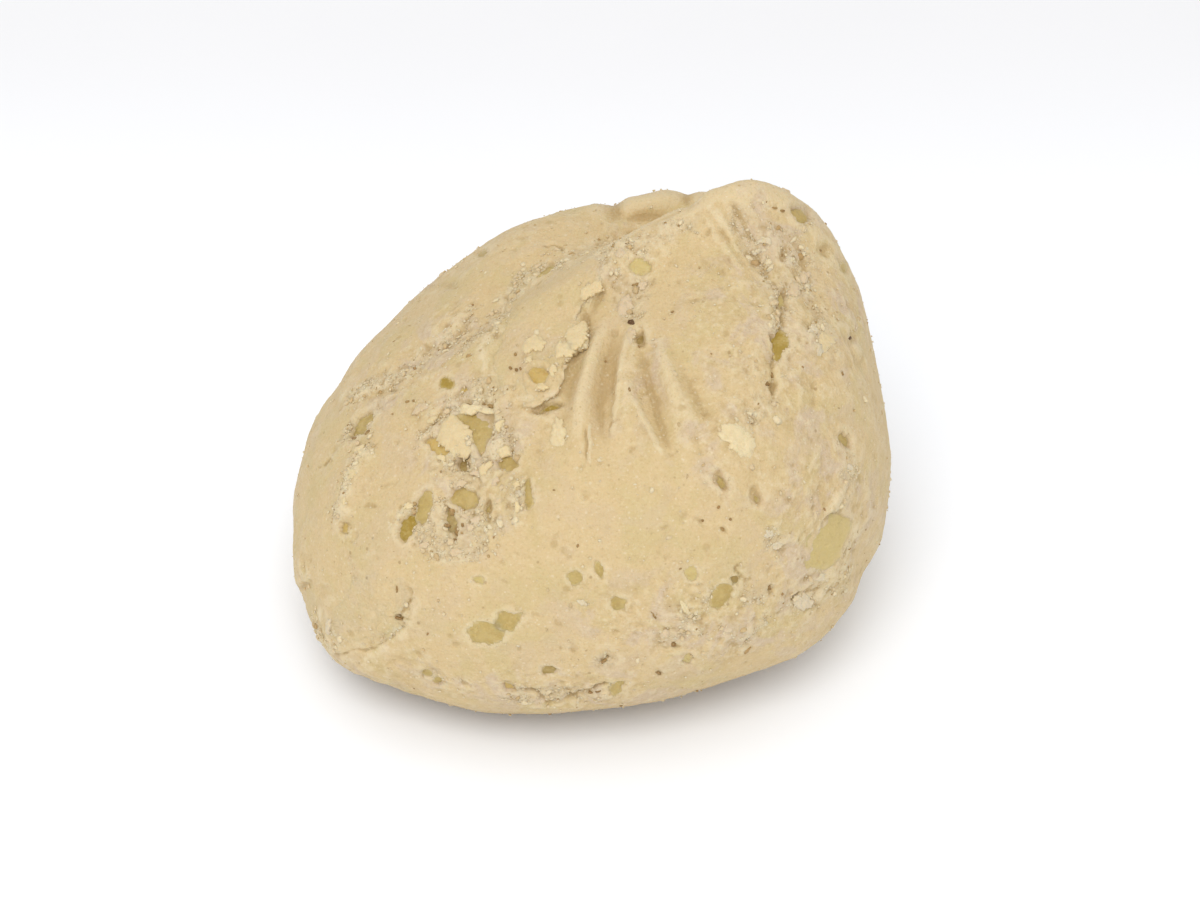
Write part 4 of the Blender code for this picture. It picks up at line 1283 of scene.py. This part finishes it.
colour = look.mix(look.span(edge, 0.78, 1.04, 0.0, 0.62), colour, linear(228, 204, 150))
bit_look = look.finish(colour, look.span(look.noise(0.5), 0.35, 0.65, 0.38, 0.55), look.bump(look.noise(0.4, 5, 0.62), 0.10, 0.9), soft=0.35, reach=0.8, spread=(1.0, 0.75, 0.30))

look = Look("pale_flake")
kind, number = look.value("kind"), look.value("number")
colour = look.mix(look.span(kind, 0.1, 0.2), linear(250, 231, 186), linear(240, 224, 192))
colour = look.mix(look.span(kind, 0.45, 0.55), colour, linear(236, 213, 177))
colour = look.mix(look.span(kind, 0.80, 0.90), colour, linear(246, 224, 176))
colour = look.mix(look.span(look.noise(0.6, 3, 0.6), 0.45, 0.72, 0.0, 0.40), colour, linear(230, 205, 152))
colour = look.mix(look.math("MULTIPLY", number, 0.15), colour, linear(214, 186, 134))
flake_look = look.finish(colour, look.span(look.noise(0.4), 0.3, 0.7, 0.55, 0.8), look.bump(look.noise(0.30, 5, 0.65), 0.12, 1.0), soft=0.25, reach=0.6, spread=(1.0, 0.7, 0.4))


def crumb_material(name, pale, mid_tone, deep, odd):
    look = Look(name)
    number = look.value("number")
    colour = look.mix(look.span(number, 0.30, 0.42), pale, mid_tone)
    colour = look.mix(look.span(number, 0.82, 0.88), colour, deep)
    colour = look.mix(look.span(number, 0.955, 0.965), colour, odd)
    colour = look.mix(look.span(look.noise(0.12, 2), 0.4, 0.7, 0.0, 0.25), colour, deep)
    return look.finish(colour, look.span(look.noise(0.3), 0.3, 0.7, 0.6, 0.8), look.bump(look.noise(0.1, 2), 0.02, 0.7), soft=0.25, reach=0.5, spread=(1.0, 0.7, 0.4))


crumb_look = crumb_material("paste_crumb", linear(243, 225, 186), linear(232, 209, 168), linear(216, 188, 140), linear(192, 158, 104))
grain_look = crumb_material("paste_grain", linear(244, 227, 190), linear(233, 211, 170), linear(216, 188, 140), linear(172, 136, 84))

look = Look("nut_skin")
number = look.value("number")
colour = look.mix(number, linear(148, 116, 66), linear(182, 148, 92))
colour = look.mix(look.span(number, 0.955, 0.965), colour, linear(96, 66, 34))
colour = look.mix(look.span(look.noise(0.2, 3), 0.45, 0.7, 0.0, 0.45), colour, linear(128, 96, 52))
colour = look.mix(look.span(look.noise(0.12, 2), 0.56, 0.70, 0.0, 0.60), colour, linear(214, 186, 136))
nut_look = look.finish(colour, look.span(look.noise(0.2), 0.3, 0.7, 0.45, 0.7), look.bump(look.noise(0.12, 3), 0.03, 0.7), soft=0.15, reach=0.4)

for piece, material in ((paste_skin, paste_look), (paste_sheets, paste_look), (chestnut_bits, bit_look), (flakes, flake_look), (crumbs, crumb_look), (grains, grain_look), (nut_skins, nut_look)):
    piece.data.materials.clear()
    piece.data.materials.append(material)
    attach(piece, "root")
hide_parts("paste")
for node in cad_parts.values():
    node.data.materials.clear()
    node.data.materials.append(paste_look)

# =====================================================================================================================
# 5. Studio: white floor, white surroundings, one broad light near the camera, the camera
# =====================================================================================================================
scene = bpy.context.scene
scene.view_settings.view_transform = "Standard"
scene.view_settings.look = "None"
scene.view_settings.exposure = 0.0
scene.view_settings.gamma = 1.0

floor_mesh = bpy.data.meshes.new("floor")
rim_steps = 96
floor_points = [(1.6 * math.cos(2 * math.pi * k / rim_steps), 1.6 * math.sin(2 * math.pi * k / rim_steps), -0.00003) for k in range(rim_steps)]
floor_mesh.from_pydata(floor_points, [], [tuple(range(rim_steps))])
floor = bpy.data.objects.new("floor", floor_mesh)
scene.collection.objects.link(floor)
look = Look("white_sheet")
depth_ = look.node("ShaderNodeSeparateXYZ")
look.put(depth_.inputs["Vector"], look.place)
# painted shade: the floor is painted greyer further back from the lump, standing in for the light falling off; near the
# lump it is a slightly bluish white
sheet_colour = look.mix(look.span(depth_.outputs["Y"], 0.020, 0.075), (0.945, 0.965, 1.0, 1), (0.835, 0.835, 0.850, 1))
floor_mesh.materials.append(look.finish(look.mix(look.span(look.noise(30.0), 0.4, 0.6, 0.0, 0.05), sheet_colour, (0.93, 0.93, 0.94, 1)), look.span(look.noise(5.0), 0.3, 0.7, 0.80, 0.88)))

world = bpy.data.worlds.new("surroundings")
scene.world = world
world.use_nodes = True
background = next(n for n in world.node_tree.nodes if n.type == "BACKGROUND")
background.inputs["Color"].default_value = (1.0, 1.0, 1.0, 1)
background.inputs["Strength"].default_value = 0.88


def soft_light(name, direction, distance, size, power, colour=(1, 1, 1)):
    data = bpy.data.lights.new(name, "AREA")
    data.shape = "DISK"
    data.size = size
    data.energy = power
    data.color = colour
    lamp = bpy.data.objects.new(name, data)
    way = Vector(direction).normalized()
    lamp.location = way * distance + Vector((0, 0, 0.012))
    lamp.rotation_mode = "QUATERNION"
    lamp.rotation_quaternion = way.to_track_quat("Z", "Y")
    scene.collection.objects.link(lamp)
    return lamp


soft_light("key", (-0.10, -0.60, 0.79), 0.40, 0.25, 0.74)

camera_data = bpy.data.cameras.new("camera")
camera_data.lens = 110.0
camera_data.sensor_width = 36.0
camera_data.sensor_fit = "HORIZONTAL"
camera_data.clip_start, camera_data.clip_end = 0.005, 20.0
camera = bpy.data.objects.new("camera", camera_data)
scene.collection.objects.link(camera)
camera.location = Vector((AIM + SHIFT + TO_EYE * EYE_DISTANCE) * MM)
camera.rotation_mode = "QUATERNION"
camera.rotation_quaternion = Vector(TO_EYE).to_track_quat("Z", "Y")
scene.camera = camera

bpy.context.view_layer.update()
